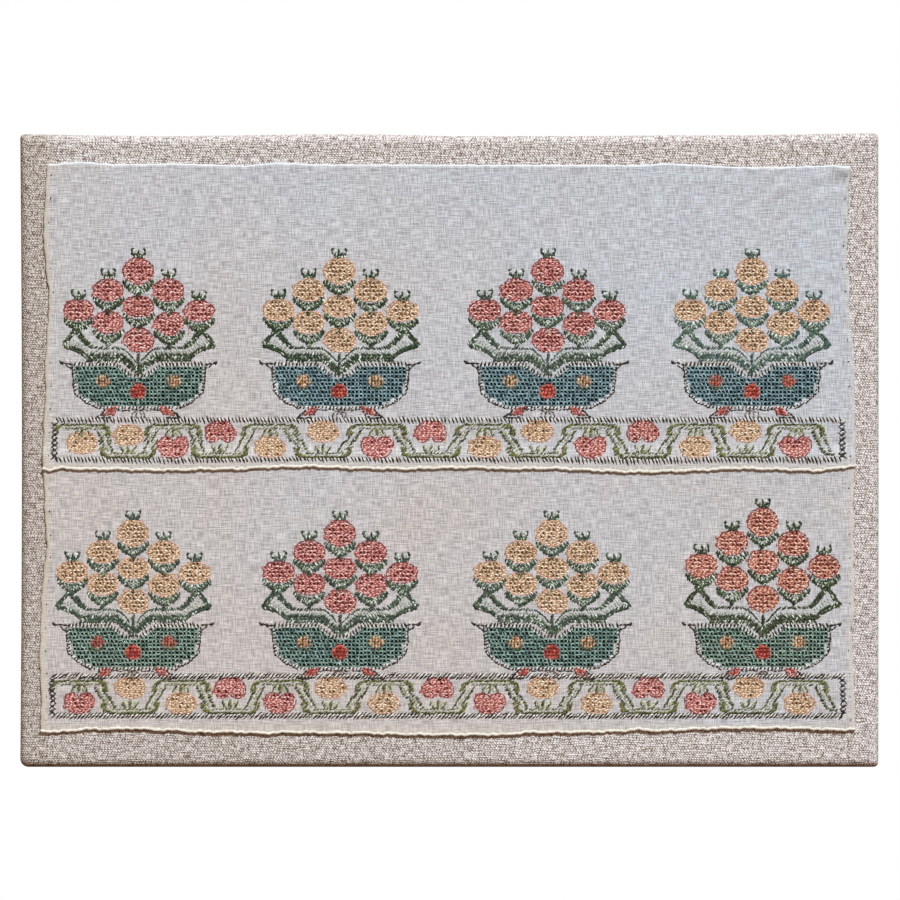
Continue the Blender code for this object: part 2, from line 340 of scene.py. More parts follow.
def make_floss(name, deep, pale):
    """Dyed floss: matt, with a faint fibre sheen, and toned by each stitch's own lot."""
    material, tree, shader = new_material(name + " floss", 0.62)
    lot = add_node(tree, "Attribute", attribute_name="lot").outputs["Fac"]
    tone = add_node(tree, "Mix", {FACTOR: lot, FIRST: deep, SECOND: pale}, data_type="RGBA")
    fill_inputs(tree, shader, {"Base Color": tone, "Sheen Weight": 0.15})
    return material


FLOSS = {name: make_floss(name, *tones) for name, tones in FLOSS_TONES.items()}
print(len(FLOSS), "kinds of floss")

# %% [markdown]
# ## One stitch, modelled once
# A stitch of floss is a small soft bar that dips into the cloth at both ends. It starts as a
# four-sided cylinder, is cut across its middle, and has its ends drawn in and pushed down. All
# the thousands of stitches are copies of it, stamped into one mesh for each motif.

# %% Model the stitch
END_SIZE = (1, 0.8, 0.6)  # of the middle's length, width and height
END_DIP = 0.22  # of the height


def model_stitch():
    """One stitch along X, one unit long, wide and high, about its middle."""
    bpy.ops.object.select_all(action="DESELECT")
    bpy.ops.mesh.primitive_cylinder_add(
        vertices=4, radius=0.5, depth=1, location=(0, 0, 0), rotation=(0, math.radians(90), 0))
    bar = bpy.context.object
    bpy.ops.object.transform_apply(location=True, rotation=True, scale=True)
    bpy.ops.object.mode_set(mode="EDIT")
    bpy.ops.mesh.select_all(action="SELECT")
    bpy.ops.mesh.bisect(plane_co=(0, 0, 0), plane_no=(1, 0, 0))
    bpy.ops.mesh.select_all(action="DESELECT")
    bpy.ops.mesh.select_mode(type="VERT")
    bpy.ops.object.mode_set(mode="OBJECT")
    bar.data.vertices.foreach_set("select", [abs(v.co.x) > 0.4 for v in bar.data.vertices])
    bpy.ops.object.mode_set(mode="EDIT")
    bpy.ops.transform.resize(value=END_SIZE)
    bpy.ops.transform.translate(value=(0, 0, -END_DIP))
    bpy.ops.object.mode_set(mode="OBJECT")
    points = np.array([v.co[:] for v in bar.data.vertices])
    faces = np.array([p.vertices[:] for p in bar.data.polygons])
    bpy.data.objects.remove(bar, do_unlink=True)
    return points, faces


STITCH_POINTS, STITCH_FACES = model_stitch()
print("one stitch has", len(STITCH_POINTS), "points and", len(STITCH_FACES), "faces")

# %% [markdown]
# ## The chart
# The bowl of fruit is a traditional towel-end repeat, counted out, written once and worked
# eight times. A plan is a list of stitches: from which place to which, in counts, how wide and
# how high in millimetres, and in which thread. Runs, rows of ticks and nets add many stitches at
# once. A net is thread pulled round a set of cells, and each cell becomes a hole.

# %% Marks
rng = np.random.default_rng(12)
WIDTH, RISE, THREAD = 4, 5, 6  # columns of a plan, after the two places


def stitch(plan, start, end, thread, width=1, rise=0.35):
    """One stitch from one place to another."""
    plan.append((*start, *end, width, rise, THREADS.index(thread)))


def steps_along(points, step, shift=0):
    """Even steps along a path: each step's start and end."""
    for (x0, y0), (x1, y1) in zip(points, points[1:]):
        number = max(1, round(math.hypot(x1 - x0, y1 - y0) / step))
        for k in range(number):
            a, b = (k + shift) / number, (k + 1 + shift) / number
            yield (x0 + (x1 - x0) * a, y0 + (y1 - y0) * a), (x0 + (x1 - x0) * b, y0 + (y1 - y0) * b)


def run(plan, points, thread, step=1, width=1, rise=0.35):
    """A line of stitches, end to end."""
    for start, end in steps_along(points, step):
        stitch(plan, start, end, thread, width, rise)


def ticks(plan, points, thread, lean=0.4, length=1.2, step=0.95, width=0.95, rise=0.35, shift=0):
    """A row of ticks across a path; lean is how far to the right each one's top stands."""
    for (x0, y0), (x1, y1) in steps_along(points, step, shift):
        x, y = (x0 + x1) / 2, (y0 + y1) / 2
        stitch(plan, (x - lean / 2, y - length / 2), (x + lean / 2, y + length / 2), thread, width, rise)


print("three counts take", len(list(steps_along([(0, 0), (3, 0)], 1))), "stitches")

# %% Bands, mirrors and nets
SPECKLES = ("pale green", "moss", "", "", "")  # what a mottled band has between its stitches
SPECKLE_RISE = 0.5
LEAF_TOP = 3  # counts above the rim
NET_BORDER, FRUIT_BORDER = 0.42, 0.68  # mm of cloth left round a hole
# Cells under the stitches of each strip: cell to its colour, partly the thread's and partly painted
# shade, its hole's painted shade or None, the hole's shift and border
cells_under_stitches = {"upper_strip": {}, "lower_strip": {}}


def band(plan, points, thread, between=None, length=1.3, lean=0.5, step=0.66, width=1.4, mottled=False):
    """A dense row of ticks, with lower ones in another or the same thread let in between."""
    first = len(plan)
    row = {"lean": lean, "step": step, "width": width}
    ticks(plan, points, between or thread, length=length * 0.85, rise=0.25, shift=0.5, **row)
    if mottled:
        for k in range(first, len(plan)):
            speckle = SPECKLES[rng.integers(len(SPECKLES))]
            if speckle:
                plan[k] = (*plan[k][:RISE], SPECKLE_RISE, THREADS.index(speckle))
    ticks(plan, points, thread, length=length, rise=0.45, **row)


def two_tone(plan, points, lean, length, width=1.3, step=0.95, raised=0):
    """A row of walnut ticks with smaller cream ones between them; raised lifts the cream ones."""
    ticks(plan, points, "walnut", lean, length, step, width)
    lifted = [(x, y + raised) for x, y in points]
    ticks(plan, lifted, "cream", lean, length * 0.55, step, width * 0.65, shift=0.5)


def from_middle(column, row, side=1, turn=1, tall=1):
    """A function that takes places across and above a middle.

    Side -1 mirrors them, turn -1 hangs them upside down, and tall stretches what is above the leaves.
    """
    def at(*places):
        return [(column + side * x, row + turn * (y * tall if y > LEAF_TOP else y)) for x, y in places]
    return at


def net(strip, plan, cells, thread, colour_and_shade, hole, width=1, lean=0, brick=0):
    """Pull thread round the cells, each of them a hole; brick shifts the rows right and left in turn."""
    for i, j in sorted(cells):
        shift = brick if j % 2 else -brick
        stitch(plan, (i + shift, j), (i + shift + lean, j + 1), thread, width)
        stitch(plan, (i, j), (i + 1, j), thread, width)
        if (i + 1, j) not in cells:
            stitch(plan, (i + 1 + shift, j), (i + 1 + shift + lean, j + 1), thread, width)
        if (i, j + 1) not in cells:
            stitch(plan, (i, j + 1), (i + 1, j + 1), thread, width)
        cells_under_stitches[strip["name"]][(i, j)] = (colour_and_shade, hole, shift + lean / 2, NET_BORDER)


print("bands and nets ready")

# %% [markdown]
# ### A fruit, its crown and its cup
# A fruit is a round field of cloth, coloured like its thread and partly painted shade, under a
# zigzag of pale and deep stitches. Some of its cells are pulled open, their floors painted shade,
# and a darker line is worked round it. A crown of three points stands on it, and a green cup, as
# mottled as moss, holds it from below.

# %% Outlines of a fruit
# Half a heart, in counts across and above its middle
HEART = (
    (0, 1.5), (0.8, 2.4), (2, 2.8), (3.2, 2.4), (4, 1.2), (3.9, -0.3), (3.1, -1.6), (1.8, -2.5),
    (0, -2.9))


def round_path(column, row, half_width, half_height, number=22):
    """A closed oval of so many steps."""
    angles = [2 * math.pi * k / number for k in range(number + 1)]
    return [(column + half_width * math.cos(a), row + half_height * math.sin(a)) for a in angles]


def heart_path(column, row, turn):
    """A heart; turn -1 stands it on its head."""
    right = [(column + x, row + turn * y) for x, y in HEART]
    left = [(column - x, row + turn * y) for x, y in HEART[::-1]]
    return right + left[1:]


def inside(path, x, y):
    """Whether a point is inside a closed path."""
    crossings = 0
    for (x0, y0), (x1, y1) in zip(path, path[1:]):
        if (y0 > y) != (y1 > y) and x < x0 + (y - y0) * (x1 - x0) / (y1 - y0):
            crossings += 1
    return crossings % 2 == 1


def drawn_in(path, share):
    """A path made smaller about its middle."""
    x_middle, y_middle = [(min(values) + max(values)) / 2 for values in zip(*path)]
    return [(x_middle + (x - x_middle) * share, y_middle + (y - y_middle) * share) for x, y in path]


print("an oval has", len(round_path(0, 0, 4, 3)) - 1, "steps")

# %% Chart a fruit
# Its three threads, its field's colour, which is partly painted shade, and the painted shade in its
# holes
FRUIT_THREADS = {
    "rose": ("rose", "pale rose", "dark rose", "#94504a", "#43160f"),
    "salmon": ("rose", "pale salmon", "dark rose", "#9c5c48", "#482213"),
    "peach": ("peach", "pale peach", "dark peach", "#a68059", "#65472f")}
OPEN_SHARE, VINE_OPEN_SHARE = 0.75, 0.3  # of the inner cells of a bowl's and a vine's fruit
INNER_SHARE = 0.82  # how far out from its middle a fruit has open cells
BRICK, ZIGZAG = 0.25, 0.32  # counts that rows shift by, right and left in turn, and that stitches lean


def chart_fruit(strip, plan, path, colour, open_share):
    """Zigzags of pale and deep stitches over a field of thread colour and painted shade, in a darker
    line.
    """
    thread, pale, outline, colour_and_shade, hole = FRUIT_THREADS[colour]
    inner = drawn_in(path, INNER_SHARE)
    xs, ys = zip(*path)
    for i in range(math.floor(min(xs)), math.ceil(max(xs))):
        for j in range(math.floor(min(ys)), math.ceil(max(ys))):
            if not inside(path, i + 0.5, j + 0.5):
                continue
            shift = BRICK if j % 2 else -BRICK
            is_open = inside(inner, i + 0.5, j + 0.5) and rng.random() < open_share
            cells_under_stitches[strip["name"]][(i, j)] = (colour_and_shade, hole if is_open else None, shift, FRUIT_BORDER)
            lean = ZIGZAG if (i + j) % 2 else -ZIGZAG
            stitch(plan, (i + shift - lean / 2, j), (i + shift + lean / 2, j + 1), thread, 1.2)
            stitch(plan, (i + 0.1, j + lean / 2), (i + 0.9, j - lean / 2), pale, 1.15, 0.5)
            if not is_open:
                stitch(plan, (i + shift + 0.3, j + 0.3), (i + shift + 0.8, j + 0.7), pale, 1, 0.45)
    run(plan, path, outline, step=1.6, width=1.05, rise=0.5)


print("there are", len(FRUIT_THREADS), "colours of fruit")

# %% Chart a crown and a cup
CUP_LINES = (
    ((4.1, 1.2), (3.8, 0.2), (2.8, -0.9), (1.7, -1.7), (0.5, -2.3)),
    ((3.7, 1), (2.9, 0.2), (1.9, -0.45), (0.9, -0.75), (0, -0.85)))
CUP_FILLING = ((3.3, 0.1), (2.4, -0.6), (1.2, -1.25), (0, -1.6))
CUP_LIGHTS = ((2.9, 0.05), (2.1, -0.7), (1.3, -0.95), (0.5, -1.2), (1, -1.6), (0.3, -1.9))


def chart_crown(plan, column, foot, green):
    """Three posts on a dense base, with a pale window between each two."""
    for height, half in ((0.25, 1.3), (0.85, 1.6)):
        band(plan, [(column - half, foot + height), (column + half, foot + height)], green,
             lean=0.2, length=0.8, step=0.72, width=1.5, mottled=True)
    run(plan, [(column, foot + 0.9), (column, foot + 2.3)], green, step=1.3, width=1.7)
    for side in (-1, 1):
        at = from_middle(column, foot, side)
        run(plan, at((1.5, 0.8), (1.85, 1.6), (1.75, 2.6)), green, step=1.1, width=1.8)
        stitch(plan, *at((1.75, 2.4), (1.15, 2.35)), green, 1.1)
        for x in (0.65, 1.15):
            stitch(plan, *at((x, 1.3), (x, 2)), "pale green", 1.1, 0.25)


def chart_cup(plan, column, base, green):
    """Two dark lines close under the fruit, with moss and a few lights between them."""
    for side in (-1, 1):
        at = from_middle(column, base, side)
        for line in CUP_LINES:
            band(plan, at(*line), green,
                 lean=-side * 0.5, length=0.95, step=0.8, width=1.45, mottled=True)
        ticks(plan, at(*CUP_FILLING), "moss", lean=side * 0.5, length=0.7, step=0.9, width=1.2, rise=0.4)
        for x, y in CUP_LIGHTS:
            stitch(plan, *at((x + 0.15, y - 0.25), (x - 0.15, y + 0.25)), "pale green", 0.95, 0.75)
    band(plan, [(column, base - 1.9), (column, base - 3.5)], green,
         lean=1.2, length=1.1, step=0.6, mottled=True)


print("a cup has", len(CUP_LINES), "lines on each side")

# %% [markdown]
# ### The bowl
# The bowl is a net of teal thread over cloth darkened with painted shade and near-black holes of
# painted shade. Its left half is pulled aslant and its right half square, as if two hands had
# worked it. Dark and pale ticks, worked in turn, make the rim and the outline, and three small
# flowers are set into the net.

# %% Chart the bowl's flowers
# The rows of stitches of a flower: half width and height
SIDE_FLOWER_ROWS = ((1.1, 1.1), (1.9, 0.4), (1.9, -0.4), (1.1, -1.1))
MIDDLE_FLOWER_ROWS = ((1.1, 1.45), (1.9, 0.5), (1.9, -0.45), (1.2, -1.4))


def chart_side_flower(plan, column, row, colour):
    """A round block of stitches with a dark eye and a dark line, over two small leaves."""
    at = from_middle(column, row)
    for half, up in SIDE_FLOWER_ROWS:
        ticks(plan, at((-half, up), (half, up)), colour,
              lean=0.3, length=0.85, step=0.75, width=1.7, rise=0.55)
    run(plan, round_path(column, row, 2.1, 1.75, 10), "brown", step=2, width=0.8, rise=0.5)
    run(plan, at((-0.3, -0.25), (0.3, 0.15)), "olive", width=1.2, rise=0.7)
    run(plan, at((-1.7, -1.5), (0, -2.3), (1.7, -1.5)), "leaf green", step=0.9, width=1.4, rise=0.5)
    run(plan, at((-0.8, -1.6), (0.8, -1.6)), "olive", step=0.8, width=1.2, rise=0.6)


def chart_middle_flower(plan, column, row):
    """A round block of red stitches, with a pale tail under it."""
    at = from_middle(column, row)
    for half, up in MIDDLE_FLOWER_ROWS:
        ticks(plan, at((-half, up), (half, up)), "red",
              lean=0.35, length=0.85, step=0.85, width=1.55, rise=0.55)
    run(plan, round_path(column, row, 2.1, 1.75, 10), "red", step=2, width=1.1, rise=0.45)
    run(plan, at((0, -2.1), (0, -3.2)), "cream", step=0.6, width=0.9, rise=0.5)


print("the side flowers have", len(SIDE_FLOWER_ROWS), "rows")

# %% Chart the bowl
BOWL_HALF_WIDTHS = (17, 17, 17, 17, 16, 16, 16, 15, 13, 11)  # for each row from the rim down
NOTCH_HALF_WIDTHS = (5, 4, 2)
SIDE_FLOWER = (9.4, -4.7)  # its middle, across and above the rim
MIDDLE_FLOWER_HEIGHT = -7.4
# Under the teal net, a dark teal that is partly painted shade, and near-black painted shade in its
# holes; under the middle flower, the same in red
TEAL_COLOUR_AND_SHADE, TEAL_HOLE_SHADE, RED_COLOUR_AND_SHADE, RED_HOLE_SHADE = "#303f3a", "#0f1210", "#8f3028", "#48100c"


def chart_bowl(strip, plan, column, rim, teal, side_colour):
    """The net, row by row, with cells left out for the three flowers, and the flowers."""
    strip_cells = cells_under_stitches[strip["name"]]
    across, above = SIDE_FLOWER
    side_places = [(column + side * across, rim + above) for side in (-1, 1)]
    middle_place = column, rim + MIDDLE_FLOWER_HEIGHT
    side_cells = [round_path(*place, 1.8, 1.5) for place in side_places]
    middle_cells = round_path(*middle_place, 2.2, 2)
    for step, half in enumerate(BOWL_HALF_WIDTHS):
        notch = NOTCH_HALF_WIDTHS[step] if step < len(NOTCH_HALF_WIDTHS) else 0
        row = {(i, rim - 2 - step) for i in range(column - half, column + half)
               if not column - notch <= i < column + notch}
        for cell in sorted(row):
            place = (cell[0] + 0.5, cell[1] + 0.5)
            if inside(middle_cells, *place):
                strip_cells[cell] = (RED_COLOUR_AND_SHADE, RED_HOLE_SHADE, 0, FRUIT_BORDER)
                row.remove(cell)
            elif any(inside(cells, *place) for cells in side_cells):
                strip_cells[cell] = (TEAL_COLOUR_AND_SHADE, None, 0, NET_BORDER)
                row.remove(cell)
        left = {cell for cell in row if cell[0] < column}
        net(strip, plan, left, teal, TEAL_COLOUR_AND_SHADE, TEAL_HOLE_SHADE, width=0.95, lean=-0.3, brick=0.22)
        net(strip, plan, row - left, teal, TEAL_COLOUR_AND_SHADE, TEAL_HOLE_SHADE, width=0.95)
    for place in side_places:
        chart_side_flower(plan, *place, side_colour)
    chart_middle_flower(plan, *middle_place)


print("the bowl's net has", len(BOWL_HALF_WIDTHS), "rows")

# %% Chart the bowl's rim, outline and feet
def chart_outline(plan, column, rim):
    """A rim of dark and pale ticks that dips to the notch, a handle each side, and dark sides."""
    for side in (-1, 1):
        at = from_middle(column, rim, side)
        slope = 0.5 if side < 0 else -0.4
        two_tone(plan, at((17.4, -0.3), (6, -0.3)), slope, 1.3, width=1.5, raised=-0.35)
        two_tone(plan, at((6, -0.4), (2.4, -2.9)), slope, 1.15, width=1.5, raised=-0.35)
        run(plan, at((17.7, -0.7), (17.6, -4), (17.1, -7.6)), "walnut", step=0.9, width=1.4)
        two_tone(plan, at((17.2, -1.4), (16.8, -7.4)), 0.6, 0.6, width=1.1, step=0.9)
        run(plan, at((17.1, -7.6), (14.4, -10.1), (10.8, -11.8)), "walnut", step=0.9, width=1.25)
        two_tone(plan, at((16.4, -7.9), (13.9, -10.1), (10.6, -11.3)), 0.6, 0.7, width=1.1, step=0.9)
        run(plan, at((17.4, -0.4), (20.8, 0)), "walnut", width=1.6)
        ticks(plan, at((17.4, 0.3), (19.6, 0.5)), "cream", length=0.7)
        run(plan, at((19.4, -0.4), (17.6, -1.8)), "walnut", width=1.3)
        run(plan, at((20.2, -0.4), (21, 0.6)), "walnut", width=1.9)
    at = from_middle(column, rim)
    two_tone(plan, at((-2.4, -3.2), (2.4, -3.2)), 0.3, 1, raised=0.4)
    two_tone(plan, at((-10.6, -11.5), (10.6, -11.5)), 0.5, 0.8)
    run(plan, at((-5.6, -12.1), (5.6, -12.1)), "walnut", step=0.9, width=1.2)


def chart_feet(plan, column, rim):
    """Two red feet that spread outwards, with dark toes, and brown tendrils between them."""
    for side in (-1, 1):
        at = from_middle(column, rim, side)
        for k in range(5):
            run(plan, at((5.8 + 0.5 * k, -11.1 - 0.1 * k), (6.9 + 0.55 * k, -13.4 - 0.05 * k)),
                "dark rose" if k == 2 else "red", step=0.9, width=1.6, rise=0.55)
        for thread, width, places in (
                ("walnut", 1.7, ((8.7, -12), (10.4, -13.5), (11.2, -14))),
                ("walnut", 1.6, ((11, -14.1), (8.6, -14.2), (7.2, -13.9))),
                ("brown", 1.6, ((8.9, -13.1), (9.8, -13.6))),
                ("walnut", 1, ((5.6, -11.6), (6.7, -13.6))),
                ("brown", 1.3, ((0, -12.2), (1.3, -12.6), (1.8, -13.4), (1.5, -14.3))),
                ("brown", 1.3, ((0.2, -12.6), (0.8, -13.4), (0.5, -14.3)))):
            run(plan, at(*places), thread, step=0.8, width=width)


print("rim, outline and feet ready")

# %% [markdown]
# ### Leaves and stems
# Two long leaves lie along the rim. Each has a thin green upper line, a pale filling, and under
# it three dense rows of stitches that lean this way and that, mottled as the cups are. It turns
# up at its end to a broad tip, where the outer fruit's stem crosses it.

# %% Chart the leaves
LEAF_ROWS = (0.75, 0.05, -0.65)  # heights of the rows along a leaf's lower edge
TIP_ROWS = ((9.4, 1.5), (8.7, 1.2), (8, 0.8))  # height and half width of the rows of its tip
LEAF_FILLING = (
    ((13, 2.9), (4.4, 2.9)), ((17.4, 6), (15.4, 4.6), (13.2, 3.2)),
    ((18.4, 5.7), (16.2, 4.5), (13.6, 3)), ((3.9, 2.7), (2.4, 1.3), (0.9, -0.4)))


def chart_leaves(plan, column, rim, green, tall):
    """Both leaves, and the stem between them; tall stretches their tips."""
    for side in (-1, 1):
        at = from_middle(column, rim, side, tall=tall)
        tilt = -side * 0.6
        for height, half in TIP_ROWS:
            band(plan, at((16.3 - half, height), (16.3 + half, height)), green,
                 lean=tilt, length=0.85, step=0.8, width=1.5, mottled=True)
        for outer in (0, -0.75):
            band(plan, at((17.2 + outer, 8.4), (18.8 + outer, 6.6), (20.2 + outer, 4.9)), green,
                 lean=tilt, length=0.95, step=0.75, width=1.8, mottled=True)
            low = outer * 0.7
            band(plan, at((20.2, 4.8 + low), (18, 4.3 + low), (15.6, 3.3 + low), (13.8, 1.9 + low)),
                 green, lean=-tilt, length=0.95, step=0.75, width=1.8, mottled=True)
        for inner in (0, 0.7):
            band(plan, at((15.9 + inner, 8), (14.6 + inner, 6.3), (13.4 + inner, 5), (12.4, 4)),
                 green, lean=tilt, length=0.9, step=0.8, width=1.7, mottled=True)
        upper_line = {"length": 0.75, "step": 0.68, "width": 1.3}
        ticks(plan, at((12.4, 4.1), (11.3, 3.85), (6.2, 3.75)), green, lean=tilt, **upper_line)
        ticks(plan, at((6.2, 3.75), (4, 3.6), (2.2, 2.1), (0.8, 0.4)), green, lean=-tilt, **upper_line)
        for row, height in enumerate(LEAF_ROWS):
            band(plan, at((14.2, 1.3 + height), (4.4, 1.3 + height), (0.4, -2 + height)), green,
                 lean=tilt * (-1) ** row, length=0.95, step=0.86, width=1.4, mottled=True)
        ticks(plan, at((13.4, 0.15), (5.2, 0.15)), "cream", lean=0.3, length=0.7, width=1.1, rise=0.3)
        for places in LEAF_FILLING:
            ticks(plan, at(*places), "sage", lean=tilt, length=0.8, step=0.8, width=1.3, rise=0.2)
    band(plan, [(column, rim + 2.6), (column, rim - 2.9)], green,
         lean=0.9, length=0.9, step=0.7, width=1.2)


print("leaves ready")

# %% Chart one whole bowl of fruit
# Fruits: counts across and above the rim, half height, and whether it has a crown and a cup
FRUITS = (
    (0, 23.6, 3.35, True, True), (-8, 18.8, 2.9, True, True), (8, 18.7, 2.9, True, True),
    (0.1, 14.5, 2.75, False, True), (-16, 13.6, 2.75, True, True), (16.1, 13.3, 2.75, True, True),
    (-8, 10.4, 2.9, False, True), (8.2, 10.2, 2.9, False, True), (0.1, 5.9, 3.05, False, False))
FRUIT_HALF_WIDTH = 4
FRUIT_STRETCH = 0.8  # of what a tall bowl is stretched by


def chart_bowl_of_fruit(strip, column, rim, colour, side_colour, green, teal, tall):
    """Everything in one repeat; tall stretches what stands above the leaves."""
    plan = []
    for across, height, half_height, has_crown, has_cup in FRUITS:
        middle = rim + height * tall
        half = half_height * (1 + (tall - 1) * FRUIT_STRETCH)
        path = round_path(column + across, middle, FRUIT_HALF_WIDTH, half)
        if has_cup:
            chart_cup(plan, column + across, middle - half, green)
        chart_fruit(strip, plan, path, colour, OPEN_SHARE)
        if has_crown:
            chart_crown(plan, column + across, middle + half, green)
    chart_leaves(plan, column, rim, green, tall)
    chart_bowl(strip, plan, column, rim, teal, side_colour)
    chart_outline(plan, column, rim)
    chart_feet(plan, column, rim)
    return plan


print("a bowl holds", len(FRUITS), "fruits")

# %% [markdown]
# ### The vine border
# A vine runs over each low fruit and under each high one, in a thick olive line with pale
# stitches beside it, and swings between them in two thin chains. Rose fruits are hearts. The
# border's two long lines are ticks of walnut brown with cream between them.

# %% Chart one fruit on the vine
FIRST_TICK, LAST_TICK = 2.9, 3  # counts in from the strip's left and right edges
BORDER_HEIGHT = 10  # counts between the two long lines


def chart_fruit_on_vine(strip, plan, column, base, height, colour, loose_side):
    """One fruit and its arch of vine; on a loose side its chains run on to the other line."""
    high = height > BORDER_HEIGHT / 2
    turn = -1 if high else 1
    if colour == "rose":
        path = heart_path(column, base + height, turn)
    else:
        path = round_path(column, base + height, FRUIT_HALF_WIDTH, 2.75)
    chart_fruit(strip, plan, path, colour, VINE_OPEN_SHARE)
    line = base + 0.9 if high else base + 8.6
    at = from_middle(column, line, turn=turn)
    band(plan, at((-5.8, 0.3), (5.8, 0.3)), "olive", "leaf green",
         length=0.55, lean=0.8, step=0.9, width=1.25)
    ticks(plan, at((-5.6, -0.15), (5.6, -0.15)), "pale olive", lean=0.5, length=0.5, step=0.9, width=1.2)
    ticks(plan, at((-5.2, -0.65), (5.2, -0.65)), "olive",
          lean=0.8, length=0.5, step=0.9, width=1.1, shift=0.5)
    band(plan, at((0, -0.6), (0, -2.7)), "olive", length=1, lean=0.9, width=1.1, mottled=True)
    for side in (-1, 1):
        at = from_middle(column, line, side, turn)
        ticks(plan, at((0.8, -1.2), (1.4, -2.6)), "pale olive",
              lean=0.6, length=0.8, step=0.6, width=1.3, rise=0.3)
        ticks(plan, at((0.9, -0.9), (1.7, -1.6), (2.1, -2.7)), "olive", length=0.9, step=0.65, width=1.2)
        for inner in (0, 0.6):
            band(plan, at((5.8 - inner, 0.1), (7 - inner, -0.5), (7.5 - inner, -2.2)), "olive",
                 length=0.8, lean=0.7, step=0.75, width=1.2)
        if not FIRST_TICK + 2 < column + side * 7.5 < strip["columns"] - LAST_TICK - 1:
            continue
        chains = [at((6, -1.5), (7.7, -3.9)), at((3.9, -0.9), (5.6, -3.9))]
        if side == loose_side:
            chains += [at((7.7, -3.9), (9, -6.6)), at((5.6, -3.9), (7, -6.6))]
            chains.append(at((6.6, -6.4), (8.4, -7.3), (9.6, -7.3)))
        for chain in chains:
            band(plan, chain, "olive", "leaf green", length=0.65, lean=0.7, step=0.85, width=1.2)
        ticks(plan, at((5, -1.2), (6.6, -3.9)), "pale olive",
              length=0.9, step=0.8, width=1.5, rise=0.25)


print("a vine's fruit can be charted")

# %% Chart a border
END_ZIGZAG = 8  # stitches up each of a border's two short ends


def chart_border(strip, base, fruits, lean, length, width):
    """Fruits on a vine in a long frame; lean, length and width are those of its dark ticks."""
    plan = []
    columns = np.arange(strip["columns"] + 1)
    x_of_columns = place_of(strip, columns, base + BORDER_HEIGHT / 2)[0]
    for x, height, colour in fruits:
        column = float(np.interp(x, x_of_columns, columns))
        loose_side = 1 if x == fruits[-1][0] else 0
        chart_fruit_on_vine(strip, plan, column, base, height, colour, loose_side)
    first, last = FIRST_TICK, strip["columns"] - LAST_TICK
    for height in (base - 0.1, base + BORDER_HEIGHT + 0.1):
        two_tone(plan, [(first, height), (last, height)], lean, length, width=width)
    for column in (first, last):
        for side in (-1, 1):
            zigzag = [
                (column + side * 0.75 * (-1) ** k, base + 0.2 + 1.35 * k) for k in range(END_ZIGZAG)]
            run(plan, zigzag, "walnut", step=1.6, width=1.4)
        two_tone(plan, [(column, base + 0.6), (column, base + 9.6)], 1.1, 0.5, width=1.2, step=1.3)
    return plan


print("borders can be charted")

# %% [markdown]
# ## Work the stitches
# Each plan becomes one mesh. The modelled stitch is copied to every mark by array arithmetic,
# a little astray as a hand leaves it, and each copy gets its own lot number for its tone.

# %% Meshes and maps from arrays
def add_mesh(name, points, faces):
    """A new piece from its points and its faces' corners."""
    mesh = bpy.data.meshes.new(name)
    mesh.from_pydata(points.reshape(-1, 3), [], faces)
    piece = bpy.data.objects.new(name, mesh)
    bpy.context.scene.collection.objects.link(piece)
    return piece


def values_of(items, name, width, kind=np.float32):
    """One property of all points, corners or faces, a row for each."""
    values = np.zeros(len(items) * width, kind)
    items.foreach_get(name, values)
    return values.reshape(-1, width)


def add_map(mesh, name, places):
    """A map that has each point of the mesh at its own flat place."""
    corners = values_of(mesh.loops, "vertex_index", 1, np.int32).ravel()
    layer = mesh.uv_layers.new(name=name)
    layer.data.foreach_set("uv", places[corners].astype(np.float32).ravel())


def add_front_map(mesh):
    """A plain front view of the piece as its map for baked colours."""
    points = values_of(mesh.vertices, "co", 3)[:, (0, 2)]
    low, high = points.min(axis=0), points.max(axis=0)
    add_map(mesh, "OFBake", (points - low) / (high - low))


print("meshes and maps ready")

# %% Stamp a plan into a mesh
STRAY = 0.12  # how far a stitch's ends stray, in counts
OVERLAP = 1.12  # each stitch is this much longer than its mark, so that its ends dip out of sight
WIDTH_SPREAD, RISE_SPREAD = (0.75, 1.2), (0.85, 1.2)  # shares of the width and rise asked for
OUTWARD = np.array([0, -1, 0])


def work(name, strip, plan):
    """Stamp the stitch at every mark of a plan and give each one its thread."""
    marks = np.array(plan)
    number = len(marks)
    ends = marks[:, :4] + rng.normal(0, STRAY, (number, 4))
    start, end = on_cloth(strip, ends[:, 0], ends[:, 1]), on_cloth(strip, ends[:, 2], ends[:, 3])
    along = end - start
    sideways = np.cross(OUTWARD, along / np.linalg.norm(along, axis=1)[:, None])
    width = marks[:, WIDTH] * MM * rng.uniform(*WIDTH_SPREAD, number)
    height = 2 * marks[:, RISE] * MM * rng.uniform(*RISE_SPREAD, number)
    local = STITCH_POINTS[None]
    points = ((start + end) / 2)[:, None] + local[..., :1] * (along * OVERLAP)[:, None]
    points = points + local[..., 1:2] * (sideways * width[:, None])[:, None]
    points = points + local[..., 2:3] * (OUTWARD * height[:, None])[:, None]
    faces = np.arange(number)[:, None, None] * len(STITCH_POINTS) + STITCH_FACES
    piece = add_mesh(name, points, faces.reshape(-1, 4))
    mesh = piece.data
    thread = marks[:, THREAD].astype(int)
    used = sorted(set(thread))
    for t in used:
        mesh.materials.append(FLOSS[THREADS[t]])
    slots = np.repeat([used.index(t) for t in thread], len(STITCH_FACES))
    mesh.polygons.foreach_set("material_index", slots.astype(np.int32))
    mesh.shade_smooth()
    lot = mesh.attributes.new("lot", "FLOAT", "POINT")
    lots = np.repeat(rng.uniform(0, 1, number), len(STITCH_POINTS))
    lot.data.foreach_set("value", lots.astype(np.float32))
    add_front_map(mesh)
    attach(piece, "root")
    print(name, number, "stitches")


print("each stitch is", OVERLAP, "of its mark's length")

# %% Work the eight bowls of fruit
UPPER_RIM, LOWER_RIM = 27, 28
